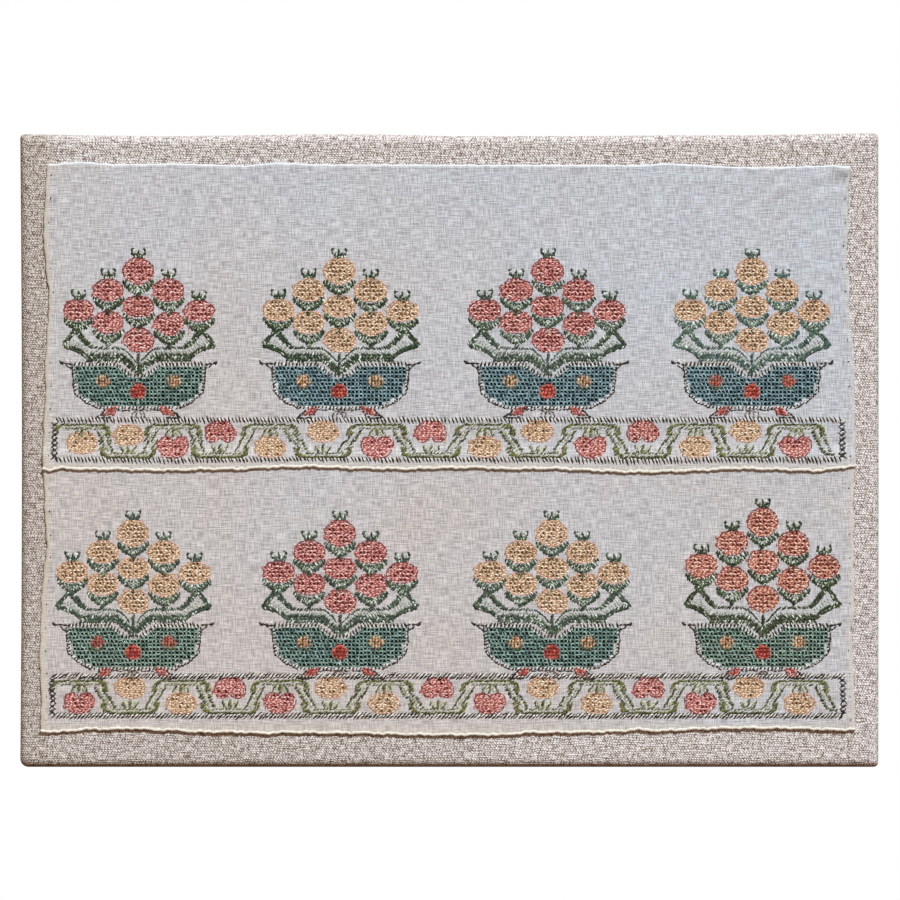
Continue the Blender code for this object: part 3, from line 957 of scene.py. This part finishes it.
# Strip, which bowl, the fruit's colour, the side flowers', the green, the teal, and how tall
BOWLS = (
    (UPPER, 0, "rose", "orange", "leaf green", "teal", 1),
    (UPPER, 1, "peach", "orange", "bottle green", "blue teal", 1),
    (UPPER, 2, "rose", "orange", "grey green", "blue teal", 1),
    (UPPER, 3, "peach", "red", "blue green", "blue teal", 1),
    (LOWER, 0, "peach", "red", "grey green", "grey teal", 1),
    (LOWER, 1, "rose", "orange", "grey green", "teal", 1),
    (LOWER, 2, "peach", "orange", "grey green", "teal", 1),
    (LOWER, 3, "salmon", "orange", "leaf green", "grey teal", 1.12))

for number, (strip, place, *dyes, tall) in enumerate(BOWLS, start=1):
    rim = UPPER_RIM if strip is UPPER else LOWER_RIM
    column = strip["bowl_columns"][place]
    plan = chart_bowl_of_fruit(strip, column, rim, *dyes, tall)
    if number == 1:  # a loose rose thread hangs from an outer fruit
        run(plan, [(column + 13.6, rim + 9.6), (column + 13.2, rim + 7)], "rose", step=1.3, width=0.8)
    work(f"bowl_of_fruit_{number}", strip, plan)

# %% Work the two borders
# Fruits along each border: x in mm, counts above the border's foot, and colour
LOW, HIGH = 3.1, 7.2
UPPER_BORDER = (
    (-227, 4.2, "peach"), (-198.5, 6.2, "peach"), (-170.7, LOW, "rose"), (-141.7, HIGH, "rose"),
    (-110.8, LOW, "peach"), (-78, HIGH, "peach"), (-44.7, LOW, "rose"), (-11.3, HIGH, "rose"),
    (22.1, LOW, "peach"), (54.8, HIGH, "peach"), (87.6, LOW, "rose"), (119.7, HIGH, "rose"),
    (152.5, LOW, "peach"), (183.4, HIGH, "peach"), (214.3, LOW, "rose"))
LOWER_BORDER = (
    (-228.8, LOW, "rose"), (-197.3, HIGH, "peach"), (-165.8, LOW, "peach"), (-135.5, HIGH, "rose"),
    (-104.6, LOW, "rose"), (-73.1, HIGH, "peach"), (-40.3, LOW, "peach"), (-7, HIGH, "rose"),
    (25.2, LOW, "rose"), (57.9, HIGH, "peach"), (91.3, LOW, "peach"), (123.4, HIGH, "rose"),
    (155, LOW, "rose"), (185.2, HIGH, "peach"), (216.7, LOW, "peach"))
UPPER_BASE, LOWER_BASE = 2.2, 4.4  # the row of each border's foot

work("vine_border_upper", UPPER, chart_border(
    UPPER, UPPER_BASE, UPPER_BORDER, lean=-0.6, length=1.5, width=1.4))
work("vine_border_lower", LOWER, chart_border(
    LOWER, LOWER_BASE, LOWER_BORDER, lean=1.5, length=1.45, width=1.5))

# %% [markdown]
# ## The towel cloth
# The ground is a fine, hand-woven cotton and linen cloth, washed soft, off-white with a faint
# cream at its selvages. Its threads are 0.6 mm apart and uneven, so the eye sees short light and
# dark streaks both ways. The cloth could be one smooth sheet with painted holes, but real pits
# catch the light and go dark as the real ones do, so each charted cell is inset and pushed in.
# The floor of each pit is also coloured near black, as painted shade.

# %% Towel cloth material
THREADS_TO_A_COUNT = 4
TOO_FINE = 0.9  # one thread is as thin as a pixel, so threads are drawn a tenth thicker
WARP_CHANGES, WEFT_CHANGES = 150, 120  # how often in a metre a thread's tone changes along it
PATCHES_TO_METRE = 9


def streaks(tree, place, scale, detail=1):
    """Noise drawn out into streaks; scale is how many lie in a metre, each way."""
    drawn_out = add_node(tree, "Mapping", {"Vector": place, "Scale": scale})
    return add_node(tree, "TexNoise", {"Vector": drawn_out, "Scale": 1, "Detail": detail})


def make_towel_cloth():
    """Fine cloth: light and dark thread streaks both ways, a painted light tint, thread colour and
    painted shade under stitches.
    """
    material, tree, shader = new_material("hand-woven towel cloth", 0.9, 0.2)
    place = add_node(tree, "TexCoord").outputs["Object"]
    per_thread = THREADS_TO_A_COUNT / (COUNT * MM) * TOO_FINE
    warp = streaks(tree, place, (per_thread, 1, WARP_CHANGES))
    weft = streaks(tree, place, (WEFT_CHANGES, 1, per_thread))
    both = add_node(tree, "Math", {0: warp, 1: weft}, operation="ADD")
    tone = add_node(tree, "MapRange", {0: both, 1: 0.77, 2: 1.23})
    ground = add_node(tree, "Mix", {FACTOR: tone, FIRST: "#aca8aa", SECOND: "#e3dfe1"}, data_type="RGBA")
    # Painted light: warmer on the left and below, cooler on the right and above, over soft patches of
    # tone
    patch = add_node(tree, "TexNoise", {"Vector": place, "Scale": PATCHES_TO_METRE, "Detail": 2})
    across, _, up = add_node(tree, "SeparateXYZ", {0: place}).outputs
    drift = add_node(tree, "MapRange", {0: across, 1: -0.25, 2: 0.25, 3: -0.25, 4: 0.25})
    climb = add_node(tree, "MapRange", {0: up, 1: 0.02, 2: 0.37, 3: -0.35, 4: 0.25})
    for change in (drift, climb):
        patch = add_node(tree, "Math", {0: patch, 1: change}, operation="ADD")
    patch = add_node(tree, "MapRange", {0: patch, 1: 0.1, 2: 0.9})
    light_tint_and_patches = add_node(tree, "Mix", {FACTOR: patch, FIRST: "#f9f2ea", SECOND: "#f3fafe"}, data_type="RGBA")
    colour = add_node(
        tree, "Mix", {FACTOR: 1, FIRST: ground, SECOND: light_tint_and_patches}, data_type="RGBA", blend_type="MULTIPLY")
    # Then the tint of selvages, hem, painted highlight and painted crease shadow, and under the stitches
    # the cells' colour, partly painted shade
    for name in ("tint", "colour_and_shade"):
        over = add_node(tree, "Attribute", attribute_name=name).outputs
        colour = add_node(
            tree, "Mix", {FACTOR: over["Alpha"], FIRST: colour, SECOND: over["Color"]}, data_type="RGBA")
    bump = add_node(tree, "Bump", {"Strength": 0.5, "Distance": 0.4 * MM, "Height": both})
    fill_inputs(tree, shader, {"Base Color": colour, "Normal": bump})
    return material


TOWEL_CLOTH = make_towel_cloth()
print("towel cloth ready")

# %% Grids, and what is done to them
# Lines of the grid near an edge, in counts from it, so that the edge can be rounded
EDGE_LINES = (0, 0.15, 0.42)


def grid_lines(number):
    """Grid lines at every count, and closer ones next to both edges."""
    return np.array([*EDGE_LINES, *range(1, number), *[number - e for e in EDGE_LINES[::-1]]])


def add_grid(name, points):
    """A grid of cells with one corner at each point; the points are in rows from the foot up."""
    rows, columns = points.shape[:2]
    bpy.ops.object.select_all(action="DESELECT")
    bpy.ops.mesh.primitive_grid_add(
        x_subdivisions=columns - 1, y_subdivisions=rows - 1, size=1, calc_uvs=False)
    piece = bpy.context.object
    piece.name = piece.data.name = name
    piece.data.vertices.foreach_set("co", points.astype(np.float32).ravel())
    piece.data.update()
    return piece


def thicken(piece, thickness):
    """Give a sheet its thickness, behind it."""
    solid = piece.modifiers.new("thickness", "SOLIDIFY")
    solid.thickness = thickness * MM
    solid.offset = -1
    bpy.ops.object.modifier_apply(modifier=solid.name)


def move_faces(piece, numbers, inset=0, move=(0, 0, 0)):
    """Inset some faces, each on its own, and move what is left of them, in millimetres."""
    bpy.ops.object.mode_set(mode="EDIT")
    bpy.ops.mesh.select_mode(type="FACE")
    bpy.ops.mesh.select_all(action="DESELECT")
    bpy.ops.object.mode_set(mode="OBJECT")
    chosen = np.zeros(len(piece.data.polygons), bool)
    chosen[numbers] = True
    piece.data.polygons.foreach_set("select", chosen)
    bpy.ops.object.mode_set(mode="EDIT")
    if inset:
        bpy.ops.mesh.inset(thickness=inset * MM, use_individual=True)
    bpy.ops.transform.translate(value=[distance * MM for distance in move])
    bpy.ops.object.mode_set(mode="OBJECT")


print("the upper strip's grid has", len(grid_lines(UPPER["rows"])), "rows of points")

# %% Open the holes
HOLE_DEPTH = 0.55


def open_the_holes(strip, piece, columns, rows):
    """Inset each charted cell of the front and push it in; colour its rim, partly painted shade, and its
    floor, painted shade.
    """
    column_of = {int(c): k for k, c in enumerate(columns) if c == int(c)}
    row_of = {int(r): k for k, r in enumerate(rows) if r == int(r)}
    strip_cells = cells_under_stitches[strip["name"]]
    number = {cell: row_of[cell[1]] * (len(columns) - 1) + column_of[cell[0]] for cell in strip_cells}
    # Each charted cell takes its thread's colour, partly painted shade between the stitches
    colour_and_shade = piece.data.attributes.new("colour_and_shade", "FLOAT_COLOR", "FACE")
    colours = np.zeros((len(piece.data.polygons), 4), np.float32)
    for cell, row in strip_cells.items():
        colours[number[cell]] = linear(row[0])
    colour_and_shade.data.foreach_set("color", colours.ravel())
    holes = {cell: row[1:] for cell, row in strip_cells.items() if row[1]}
    for border in (NET_BORDER, FRUIT_BORDER):
        numbers = [number[cell] for cell, row in holes.items() if row[2] == border]
        move_faces(piece, numbers, border, (0, HOLE_DEPTH, 0))
    for shift in sorted({row[1] for row in holes.values()}):
        numbers = [number[cell] for cell, row in holes.items() if row[1] == shift]
        move_faces(piece, numbers, move=(shift * COUNT, 0, 0))
    colour_and_shade = piece.data.attributes["colour_and_shade"]  # the operators have made it anew
    colours = values_of(colour_and_shade.data, "color", 4)
    # Each pit's floor is coloured near black: painted shade in the hole
    for cell, row in holes.items():
        colours[number[cell]] = linear(row[0])
    colour_and_shade.data.foreach_set("color", colours.ravel())


print("holes can be opened")

# %% Tint the cloth
# The last two are painted: a highlight on the top fold, and the shadow of the creases at the upper right
# corner
CREAM, TOP_HIGHLIGHT, CREASE_SHADOW = [linear(colour)[:3] for colour in ("#d8cbb4", "#f4f6f6", "#7d6a60")]


def tint_of(strip, from_left, from_right, from_top, from_foot):
    """Colour and share of the tint at each point: cream selvages and hem, painted top-fold highlight and
    crease shadow.
    """
    left_share, right_share = strip["selvage_cream"]
    cream = np.interp(from_left, (1, 4.8), (left_share, 0))
    cream = cream + np.interp(from_right, (1, 4.8), (right_share, 0))
    share = np.maximum(cream, np.interp(from_foot, (0, 5), (0.35, 0)))
    colour = np.broadcast_to(CREAM, (len(share), 3))
    if strip["stepped"]:
        # A painted highlight along the top fold
        top_highlight = np.interp(from_top, (0.5, 1.4), (0.5, 0))
        # Painted brown shadow of the creases at the upper right corner, in millimetres from the right
        # edge and the top
        crease_shadow = 0.5 * np.exp(-((from_right - 6.5) / 5) ** 2 - ((from_top - 5.5) / 3) ** 2)
        for other, other_colour in ((top_highlight, TOP_HIGHLIGHT), (crease_shadow, CREASE_SHADOW)):
            colour = np.where((other > share)[:, None], other_colour, colour)
            share = np.maximum(share, other)
    return np.hstack([colour, share[:, None]])


print("the tints are cream, bright and smudge")

# %% Lay both strips
# The edges are rounded: distance in from the edge, and how far the front rises there, in mm
SELVAGE_SHAPE = ((0, -0.75), (0.36, -0.35), (1, 0), (2.4, 0.08), (4, 0))
TOP_SHAPE = ((0, -0.5), (0.36, 0), (1, 0.2), (2.4, 0))


def lay_strip(strip):
    """One strip of towel as a closed sheet, with a pit for each hole of its nets."""
    columns, rows = grid_lines(strip["columns"]), grid_lines(strip["rows"])
    column, row = np.meshgrid(columns, rows)
    piece = add_grid(strip["name"], on_cloth(strip, column, row))
    thicken(piece, CLOTH_THICK)
    mesh = piece.data
    points = values_of(mesh.vertices, "co", 3)
    from_left, from_right = column.ravel() * COUNT, (strip["columns"] - column).ravel() * COUNT
    from_foot, from_top = row.ravel() * COUNT, (strip["rows"] - row).ravel() * COUNT
    front = points[:column.size]
    front[:, 1] -= read(SELVAGE_SHAPE, np.minimum(from_left, from_right)) * MM
    front[:, 1] -= read(TOP_SHAPE, from_top) * MM
    mesh.vertices.foreach_set("co", points.ravel())
    tint = mesh.attributes.new("tint", "FLOAT_COLOR", "POINT")
    tints = np.tile(tint_of(strip, from_left, from_right, from_top, from_foot), (2, 1))
    tint.data.foreach_set("color", tints.astype(np.float32).ravel())
    open_the_holes(strip, piece, columns, rows)
    mesh = piece.data
    mesh.shade_smooth()
    mesh.materials.append(TOWEL_CLOTH)
    add_front_map(mesh)
    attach(piece, "root")
    print(strip["name"], len(mesh.polygons), "faces")
    return piece


upper_strip = lay_strip(UPPER)
lower_strip = lay_strip(LOWER)
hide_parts("upper_cloth")
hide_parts("lower_cloth")

# %% [markdown]
# ## The rolled hems
# The end of a towel is rolled tight between finger and thumb and whipped over, so that it turns
# into a cream cord with a bead between each two stitches. A long grid is wrapped round an oval,
# and its size swells and shrinks along its length.

# %% Rolled hem material
BLOTCH = 2.5  # mm


def make_hem_cloth():
    """Cloth rolled tight: dull, cream where its layers are clean and darker where they are worn."""
    material, tree, shader = new_material("rolled hem of towel cloth", 0.85, 0.2)
    place = add_node(tree, "TexCoord").outputs["Object"]
    patches = add_node(tree, "TexNoise", {"Vector": place, "Scale": 1 / (BLOTCH * MM), "Detail": 2})
    tone = add_node(
        tree, "Mix", {FACTOR: patches, FIRST: "#bfb3a0", SECOND: "#fffaf0"}, data_type="RGBA")
    bump = add_node(tree, "Bump", {"Strength": 0.6, "Distance": 0.4 * MM, "Height": patches})
    fill_inputs(tree, shader, {"Base Color": tone, "Normal": bump})
    return material


HEM_CLOTH = make_hem_cloth()
print("hem material ready")

# %% Roll a hem
HEM_LENGTH_STEP = 0.8
HEM_TURNS = 12
BEAD_LENGTH = 3.1
WELD = 0.02  # points closer than this are joined


def roll_hem(strip, name):
    """A beaded cord along a strip's foot, closed at both ends."""
    left, right = read(strip["left"], strip["foot"]), read(strip["right"], strip["foot"])
    steps = int((right - left) / HEM_LENGTH_STEP)
    x, turn = np.meshgrid(
        np.linspace(left, right, steps + 1), np.linspace(math.pi, -math.pi, HEM_TURNS + 1))
    wander = 0.3 * np.sin(x / 0.9) * np.sin(x / 7.1 + 1) + 0.25 * np.sin(x / 2.7 + 2)
    middle = read(strip["hem"], x) + wander
    # Beads of uneven length and size, which dwindle at both ends
    bead = np.sin(math.pi * (x / BEAD_LENGTH + 0.8 * np.sin(x / 11)))
    size = 0.7 + 0.3 * np.abs(bead) * (0.8 + 0.2 * np.sin(x / 3.7))
    size = size * np.interp(np.minimum(x - left, right - x), (0, 1), (0.6, 1))
    y = LINEN_FRONT - lift_of(strip, x, middle) - HEM_HALF_DEPTH - HEM_HALF_DEPTH * size * np.cos(turn)
    z = middle + HEM_HALF_HEIGHT * size * np.sin(turn)
    piece = add_grid(name, np.stack([x, y, z], axis=-1) * MM)
    bpy.ops.object.mode_set(mode="EDIT")
    bpy.ops.mesh.select_mode(type="VERT")
    bpy.ops.mesh.select_all(action="SELECT")
    bpy.ops.mesh.remove_doubles(threshold=WELD * MM)
    bpy.ops.mesh.select_all(action="DESELECT")
    bpy.ops.mesh.select_non_manifold()
    bpy.ops.mesh.fill_holes(sides=0)
    bpy.ops.mesh.select_all(action="SELECT")
    bpy.ops.mesh.normals_make_consistent(inside=False)
    bpy.ops.object.mode_set(mode="OBJECT")
    bpy.ops.object.shade_smooth()
    piece.data.materials.append(HEM_CLOTH)
    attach(piece, "root")
    print(name, len(piece.data.polygons), "faces")
    return piece


upper_hem = roll_hem(UPPER, "upper_rolled_hem")
lower_hem = roll_hem(LOWER, "lower_rolled_hem")

# %% [markdown]
# ## The linen
# The backing is coarse greige linen, woven plain from uneven threads that are thick here and
# thin there. It is pulled over the bars, so its front edges are round, and turned over behind,
# with one flap folded over the other at each corner. Rings round the panel, from its front to
# the cut edge behind, carry that shape best, because each ring can be drawn in by its own amount.

# %% Linen material
# Its threads are too fine to show here, so its weave is drawn coarser, at these distances in mm
DASH_PITCH, ROW_PITCH = 1.7, 1.42  # between dashes along a row, and between rows
YARN = 1 / 0.85  # a thread's thickness
SLANT = 0.2  # the yarn's twist sets each dash aslant
WAVER = 3.4  # how far a thread strays, both ways together
WAVERS_TO_METRE = 170
YARN_CHANGES = 220  # how often in a metre the yarn swells and thins


def make_linen():
    """Plain weave: pale dashes where one thread is over, dark between them, and uneven yarn."""
    material, tree, shader = new_material("greige stretched linen", 0.92, 0.2)
    flat = add_node(tree, "UVMap", uv_map="Threads")
    waver = add_node(tree, "TexNoise", {"Vector": flat, "Scale": WAVERS_TO_METRE, "Detail": 3})
    moved = add_node(
        tree, "VectorMath", {0: waver.outputs["Color"], 1: (WAVER * MM, WAVER * MM, 0)},
        operation="MULTIPLY")
    uneven = add_node(tree, "VectorMath", {0: flat, 1: moved}, operation="ADD")
    along, up, _ = add_node(tree, "SeparateXYZ", {0: uneven}).outputs
    along = add_node(tree, "Math", {0: up, 1: SLANT, 2: along}, operation="MULTIPLY_ADD")
    waves = []
    for place, waves_to_metre in ((along, 1 / (DASH_PITCH * MM)), (up, 0.5 / (ROW_PITCH * MM))):
        angle = add_node(tree, "Math", {0: place, 1: 2 * math.pi * waves_to_metre}, operation="MULTIPLY")
        waves.append(add_node(tree, "Math", {0: angle}, operation="SINE"))
    ridge = add_node(tree, "Math", {0: waves[1]}, operation="ABSOLUTE")
    rows = add_node(tree, "Math", {0: ridge, 1: 0.8, 2: -0.5}, operation="MULTIPLY_ADD")
    dashes = add_node(tree, "Math", {0: waves[0], 1: waves[1], 2: rows}, operation="MULTIPLY_ADD")
    weave = add_node(tree, "Math", {0: dashes, 1: 0.62, 2: -2.2}, operation="MULTIPLY_ADD")
    # Streaks both ways for yarn that is thick here and thin there, about as strong as the weave
    per_yarn = 1 / (YARN * MM)
    warp = streaks(tree, flat, (per_yarn, YARN_CHANGES, 1))
    weft = streaks(tree, flat, (YARN_CHANGES, per_yarn, 1))
    slubs = add_node(tree, "Math", {0: warp, 1: weft}, operation="ADD")
    relief = add_node(tree, "Math", {0: slubs, 1: 2.2, 2: weave}, operation="MULTIPLY_ADD")
    tone = add_node(tree, "MapRange", {0: relief, 1: -0.75, 2: 0.75})
    colour = add_node(tree, "Mix", {FACTOR: tone, FIRST: "#7d6b61", SECOND: "#fdf4f0"}, data_type="RGBA")
    # Painted shade: the left margin is darker, and so is the left half of the lower one
    x, z, _ = add_node(tree, "SeparateXYZ", {0: flat}).outputs
    margin = add_node(tree, "MapRange", {0: x, 1: -0.252, 2: -0.235, 3: 1, 4: 0})
    left = add_node(tree, "MapRange", {0: x, 1: -0.08, 2: 0.08, 3: 0.6, 4: 0})
    low = add_node(tree, "MapRange", {0: z, 1: 0.03, 2: 0.08, 3: 1, 4: 0})
    corner = add_node(tree, "Math", {0: left, 1: low}, operation="MULTIPLY")
    painted_shade = add_node(tree, "Math", {0: margin, 1: corner}, operation="MAXIMUM")
    shaded_colour = add_node(
        tree, "Mix", {FACTOR: painted_shade, FIRST: colour, SECOND: "#e9e6df"}, data_type="RGBA",
        blend_type="MULTIPLY")
    bump = add_node(tree, "Bump", {"Strength": 0.6, "Distance": 0.5 * MM, "Height": relief})
    fill_inputs(tree, shader, {"Base Color": shaded_colour, "Normal": bump})
    return material


LINEN = make_linen()
print("linen ready")

# %% The panel's outline
PANEL_WIDTH, PANEL_HEIGHT = 531, 391
# How round the panel's corners are, from the lower right one the way the outline runs
CORNER_ROUND = (3, 3, 2.5, 5)
LEFT_BOW, RIGHT_BOW = 1, -0.2  # how far in the middle of each side edge lies
# The top edge's wander: x, and how much higher than straight
TOP_WANDER = (
    (-260, 0.5), (-216, -0.3), (-173, -0.7), (-129, -0.2), (-86, 0.5), (-43, 0.4), (0, -0.7),
    (87, -0.6), (130, -0.2), (173, -0.2), (217, 0.4), (260, 1.2))
CORNER_STEPS = 6
SIDE_STEP = 5  # mm between the points of an edge


def bowed(x, z):
    """Draw a point of the outline in by the bow of the edge that it is near."""
    up = math.sin(math.pi * z / PANEL_HEIGHT)
    x -= (LEFT_BOW if x < 0 else RIGHT_BOW) * up * 2 * x / PANEL_WIDTH
    return x, z + read(TOP_WANDER, x) * max(0, 2 * z / PANEL_HEIGHT - 1)


def outline(inset):
    """The panel's outline, drawn in by inset on all sides, as x and height."""
    half, low, high = PANEL_WIDTH / 2 - inset, inset, PANEL_HEIGHT - inset
    corners = ((half, low, -90), (half, high, 0), (-half, high, 90), (-half, low, 180))
    arcs = []
    for (corner_x, corner_z, first_angle), corner_round in zip(corners, CORNER_ROUND):
        radius = max(corner_round - inset, 0.4)
        centre_x = corner_x - math.copysign(radius, corner_x)
        centre_z = corner_z - radius if corner_z == high else corner_z + radius
        angles = [math.radians(first_angle + 90 * k / CORNER_STEPS) for k in range(CORNER_STEPS + 1)]
        arcs.append([(centre_x + radius * math.cos(a), centre_z + radius * math.sin(a)) for a in angles])
    points = []
    for k, arc in enumerate(arcs):
        points += arc
        (x0, z0), (x1, z1) = arc[-1], arcs[(k + 1) % 4][0]
        steps = int((PANEL_HEIGHT if k % 2 == 0 else PANEL_WIDTH) / SIDE_STEP)
        points += [(x0 + (x1 - x0) * s / steps, z0 + (z1 - z0) * s / steps) for s in range(1, steps)]
    return np.array([bowed(x, z) for x, z in points])


print("an outline has", len(outline(0)), "points")

# %% Rings of the linen
LINEN_BACK = 15.8
FRONT_ROUND, BACK_ROUND = 5, 3
TURNOVER = 34
FRONT_INSETS = (46, 38, 30, 24, 18, 13, 9, 7, 5)
FLAP_RISE, FLAP_LENGTH = 1.1, 70


def flap_rise(points, inset):
    """Behind, the flaps of the top and bottom lie over those of the sides near each corner."""
    from_side = PANEL_WIDTH / 2 - np.abs(points[:, 0])
    from_end = np.minimum(points[:, 1], PANEL_HEIGHT - points[:, 1])
    rise = FLAP_RISE * fading(from_side - inset, FLAP_LENGTH)
    return np.where(from_end < from_side - 0.2, rise, 0)


def stretch_linen():
    """Rings of points from the front's middle to the cut edge behind, and their flat places."""
    edge = outline(FRONT_ROUND)
    outward = outline(0) - edge
    outward = outward / np.linalg.norm(outward, axis=1)[:, None]
    rings, flats = [], []

    def add_ring(inset, depth, reach=None):
        """One ring; reach is how far past the front's edge it is in the flat cloth."""
        shape = outline(inset)
        wave = 0.12 * np.sin(shape[:, 0] / 9) * np.sin(shape[:, 1] / 13 + 1)
        rings.append(np.column_stack([shape[:, 0], depth + wave, shape[:, 1]]))
        flats.append(shape if reach is None else edge + outward * reach)

    for inset in FRONT_INSETS:
        add_ring(inset, LINEN_FRONT)
    quarter = math.pi / 2
    for angle in np.linspace(0, quarter, 6)[1:]:
        add_ring(FRONT_ROUND * (1 - math.sin(angle)), LINEN_FRONT + FRONT_ROUND * (1 - math.cos(angle)),
                 FRONT_ROUND * angle)
    reach = FRONT_ROUND * quarter
    side = LINEN_BACK - BACK_ROUND - LINEN_FRONT - FRONT_ROUND
    for share in (0.25, 0.5, 0.75, 1):
        add_ring(0, LINEN_FRONT + FRONT_ROUND + side * share, reach + side * share)
    reach += side
    for angle in np.linspace(0, quarter, 5)[1:]:
        add_ring(BACK_ROUND * (1 - math.cos(angle)), LINEN_BACK - BACK_ROUND * (1 - math.sin(angle)),
                 reach + BACK_ROUND * angle)
    reach += BACK_ROUND * quarter
    for share in np.linspace(0, 1, 7)[1:]:
        inset = BACK_ROUND + (TURNOVER - BACK_ROUND) * share
        add_ring(inset, LINEN_BACK, reach + inset - BACK_ROUND)
        rings[-1][:, 1] += flap_rise(rings[-1][:, (0, 2)], inset)
    cut = rings[-1]
    fray = 0.5 * np.sin((cut[:, 0] + cut[:, 2]) / 6) + 0.3 * np.sin((cut[:, 0] - cut[:, 2]) / 2.1)
    cut[:, 0] += fray
    cut[:, 2] += fray
    return np.array(rings) * MM, np.array(flats) * MM


print("the linen has", len(stretch_linen()[0]), "rings")

# %% Stretch the linen over the bars
LINEN_THICK = 1


def make_linen_piece():
    """Quads from ring to ring, closed in the front's middle, which the strips cover."""
    rings, flats = stretch_linen()
    ring_count, around = rings.shape[:2]
    grid = np.meshgrid(np.arange(ring_count - 1), np.arange(around), indexing="ij")
    ring, k = [numbers.ravel() for numbers in grid]
    after = (k + 1) % around
    quads = np.column_stack([
        ring * around + k, ring * around + after, (ring + 1) * around + after, (ring + 1) * around + k])
    piece = add_mesh("linen_over_bars", rings, [*quads.tolist(), list(range(around))])
    add_map(piece.data, "Threads", flats.reshape(-1, 2))
    piece.data.materials.append(LINEN)
    bpy.ops.object.select_all(action="DESELECT")
    bpy.context.view_layer.objects.active = piece
    piece.select_set(True)
    bpy.ops.object.mode_set(mode="EDIT")
    bpy.ops.mesh.select_all(action="SELECT")
    bpy.ops.mesh.normals_make_consistent(inside=False)
    bpy.ops.object.mode_set(mode="OBJECT")
    thicken(piece, LINEN_THICK)
    bpy.ops.object.shade_smooth_by_angle(angle=math.radians(50))
    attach(piece, "root")
    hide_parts("linen_cover")
    print("linen", len(piece.data.polygons), "faces")
    return piece


linen = make_linen_piece()

# %% [markdown]
# ## The bars
# The bars are planed pine, unfinished, as on any stretcher. Planed pine shows straight growth
# lines along its length, amber where the summer wood is and pale between, under a soft sheen.

# %% Pine for the four bars
ALONG, THROUGH = 1.2, 34  # how many streaks of wood lie in a metre, along a bar and across it
RING_TURN = 60  # radians over the streaks' whole range, which is about ten growth lines


def make_pine(name, scale):
    """Planed pine: amber summer wood in straight lines; scale is how many streaks lie in a metre."""
    material, tree, shader = new_material(name, 0.55, 0.4)
    waves = streaks(tree, add_node(tree, "TexCoord").outputs["Object"], scale, detail=2)
    rings = add_node(tree, "Math", {0: waves, 1: RING_TURN}, operation="MULTIPLY")
    bands = add_node(tree, "Math", {0: rings}, operation="SINE")
    share = add_node(tree, "MapRange", {0: bands, 1: -0.4, 2: 1})
    colour = add_node(
        tree, "Mix", {FACTOR: share, FIRST: "#e2c59b", SECOND: "#c3925c"}, data_type="RGBA")
    bump = add_node(tree, "Bump", {"Strength": 0.25, "Distance": 0.3 * MM, "Height": share})
    fill_inputs(tree, shader, {"Base Color": colour, "Normal": bump})
    return material


LYING_PINE = make_pine("planed pine, grain across", (ALONG, THROUGH, THROUGH))
STANDING_PINE = make_pine("planed pine, grain upright", (THROUGH, THROUGH, ALONG))
for name, material in (
        ("bar_bottom", LYING_PINE), ("bar_top", LYING_PINE),
        ("bar_left", STANDING_PINE), ("bar_right", STANDING_PINE)):
    bar = bpy.data.objects[name]
    bar.data.materials.clear()
    bar.data.materials.append(material)
print("bars finished")

# %% [markdown]
# ## Sewing
# The strips are caught down to the linen by a stitch every centimetre and a half along their
# sides, in dark thread.

# %% Sew the strips down
SEWING_STEP, FROM_EDGE = 6, 1.3  # counts from stitch to stitch, and in from the edge


def chart_sewing(strip):
    """A small aslant stitch at even steps up both selvages."""
    plan = []
    for row in np.arange(3, strip["rows"] - 1, SEWING_STEP):
        for column in (FROM_EDGE, strip["columns"] - FROM_EDGE):
            stitch(plan, (column, row), (column + 0.25, row + 0.35), "walnut", 0.9, 0.6)
    return plan


work("sewing_upper", UPPER, chart_sewing(UPPER))
work("sewing_lower", LOWER, chart_sewing(LOWER))
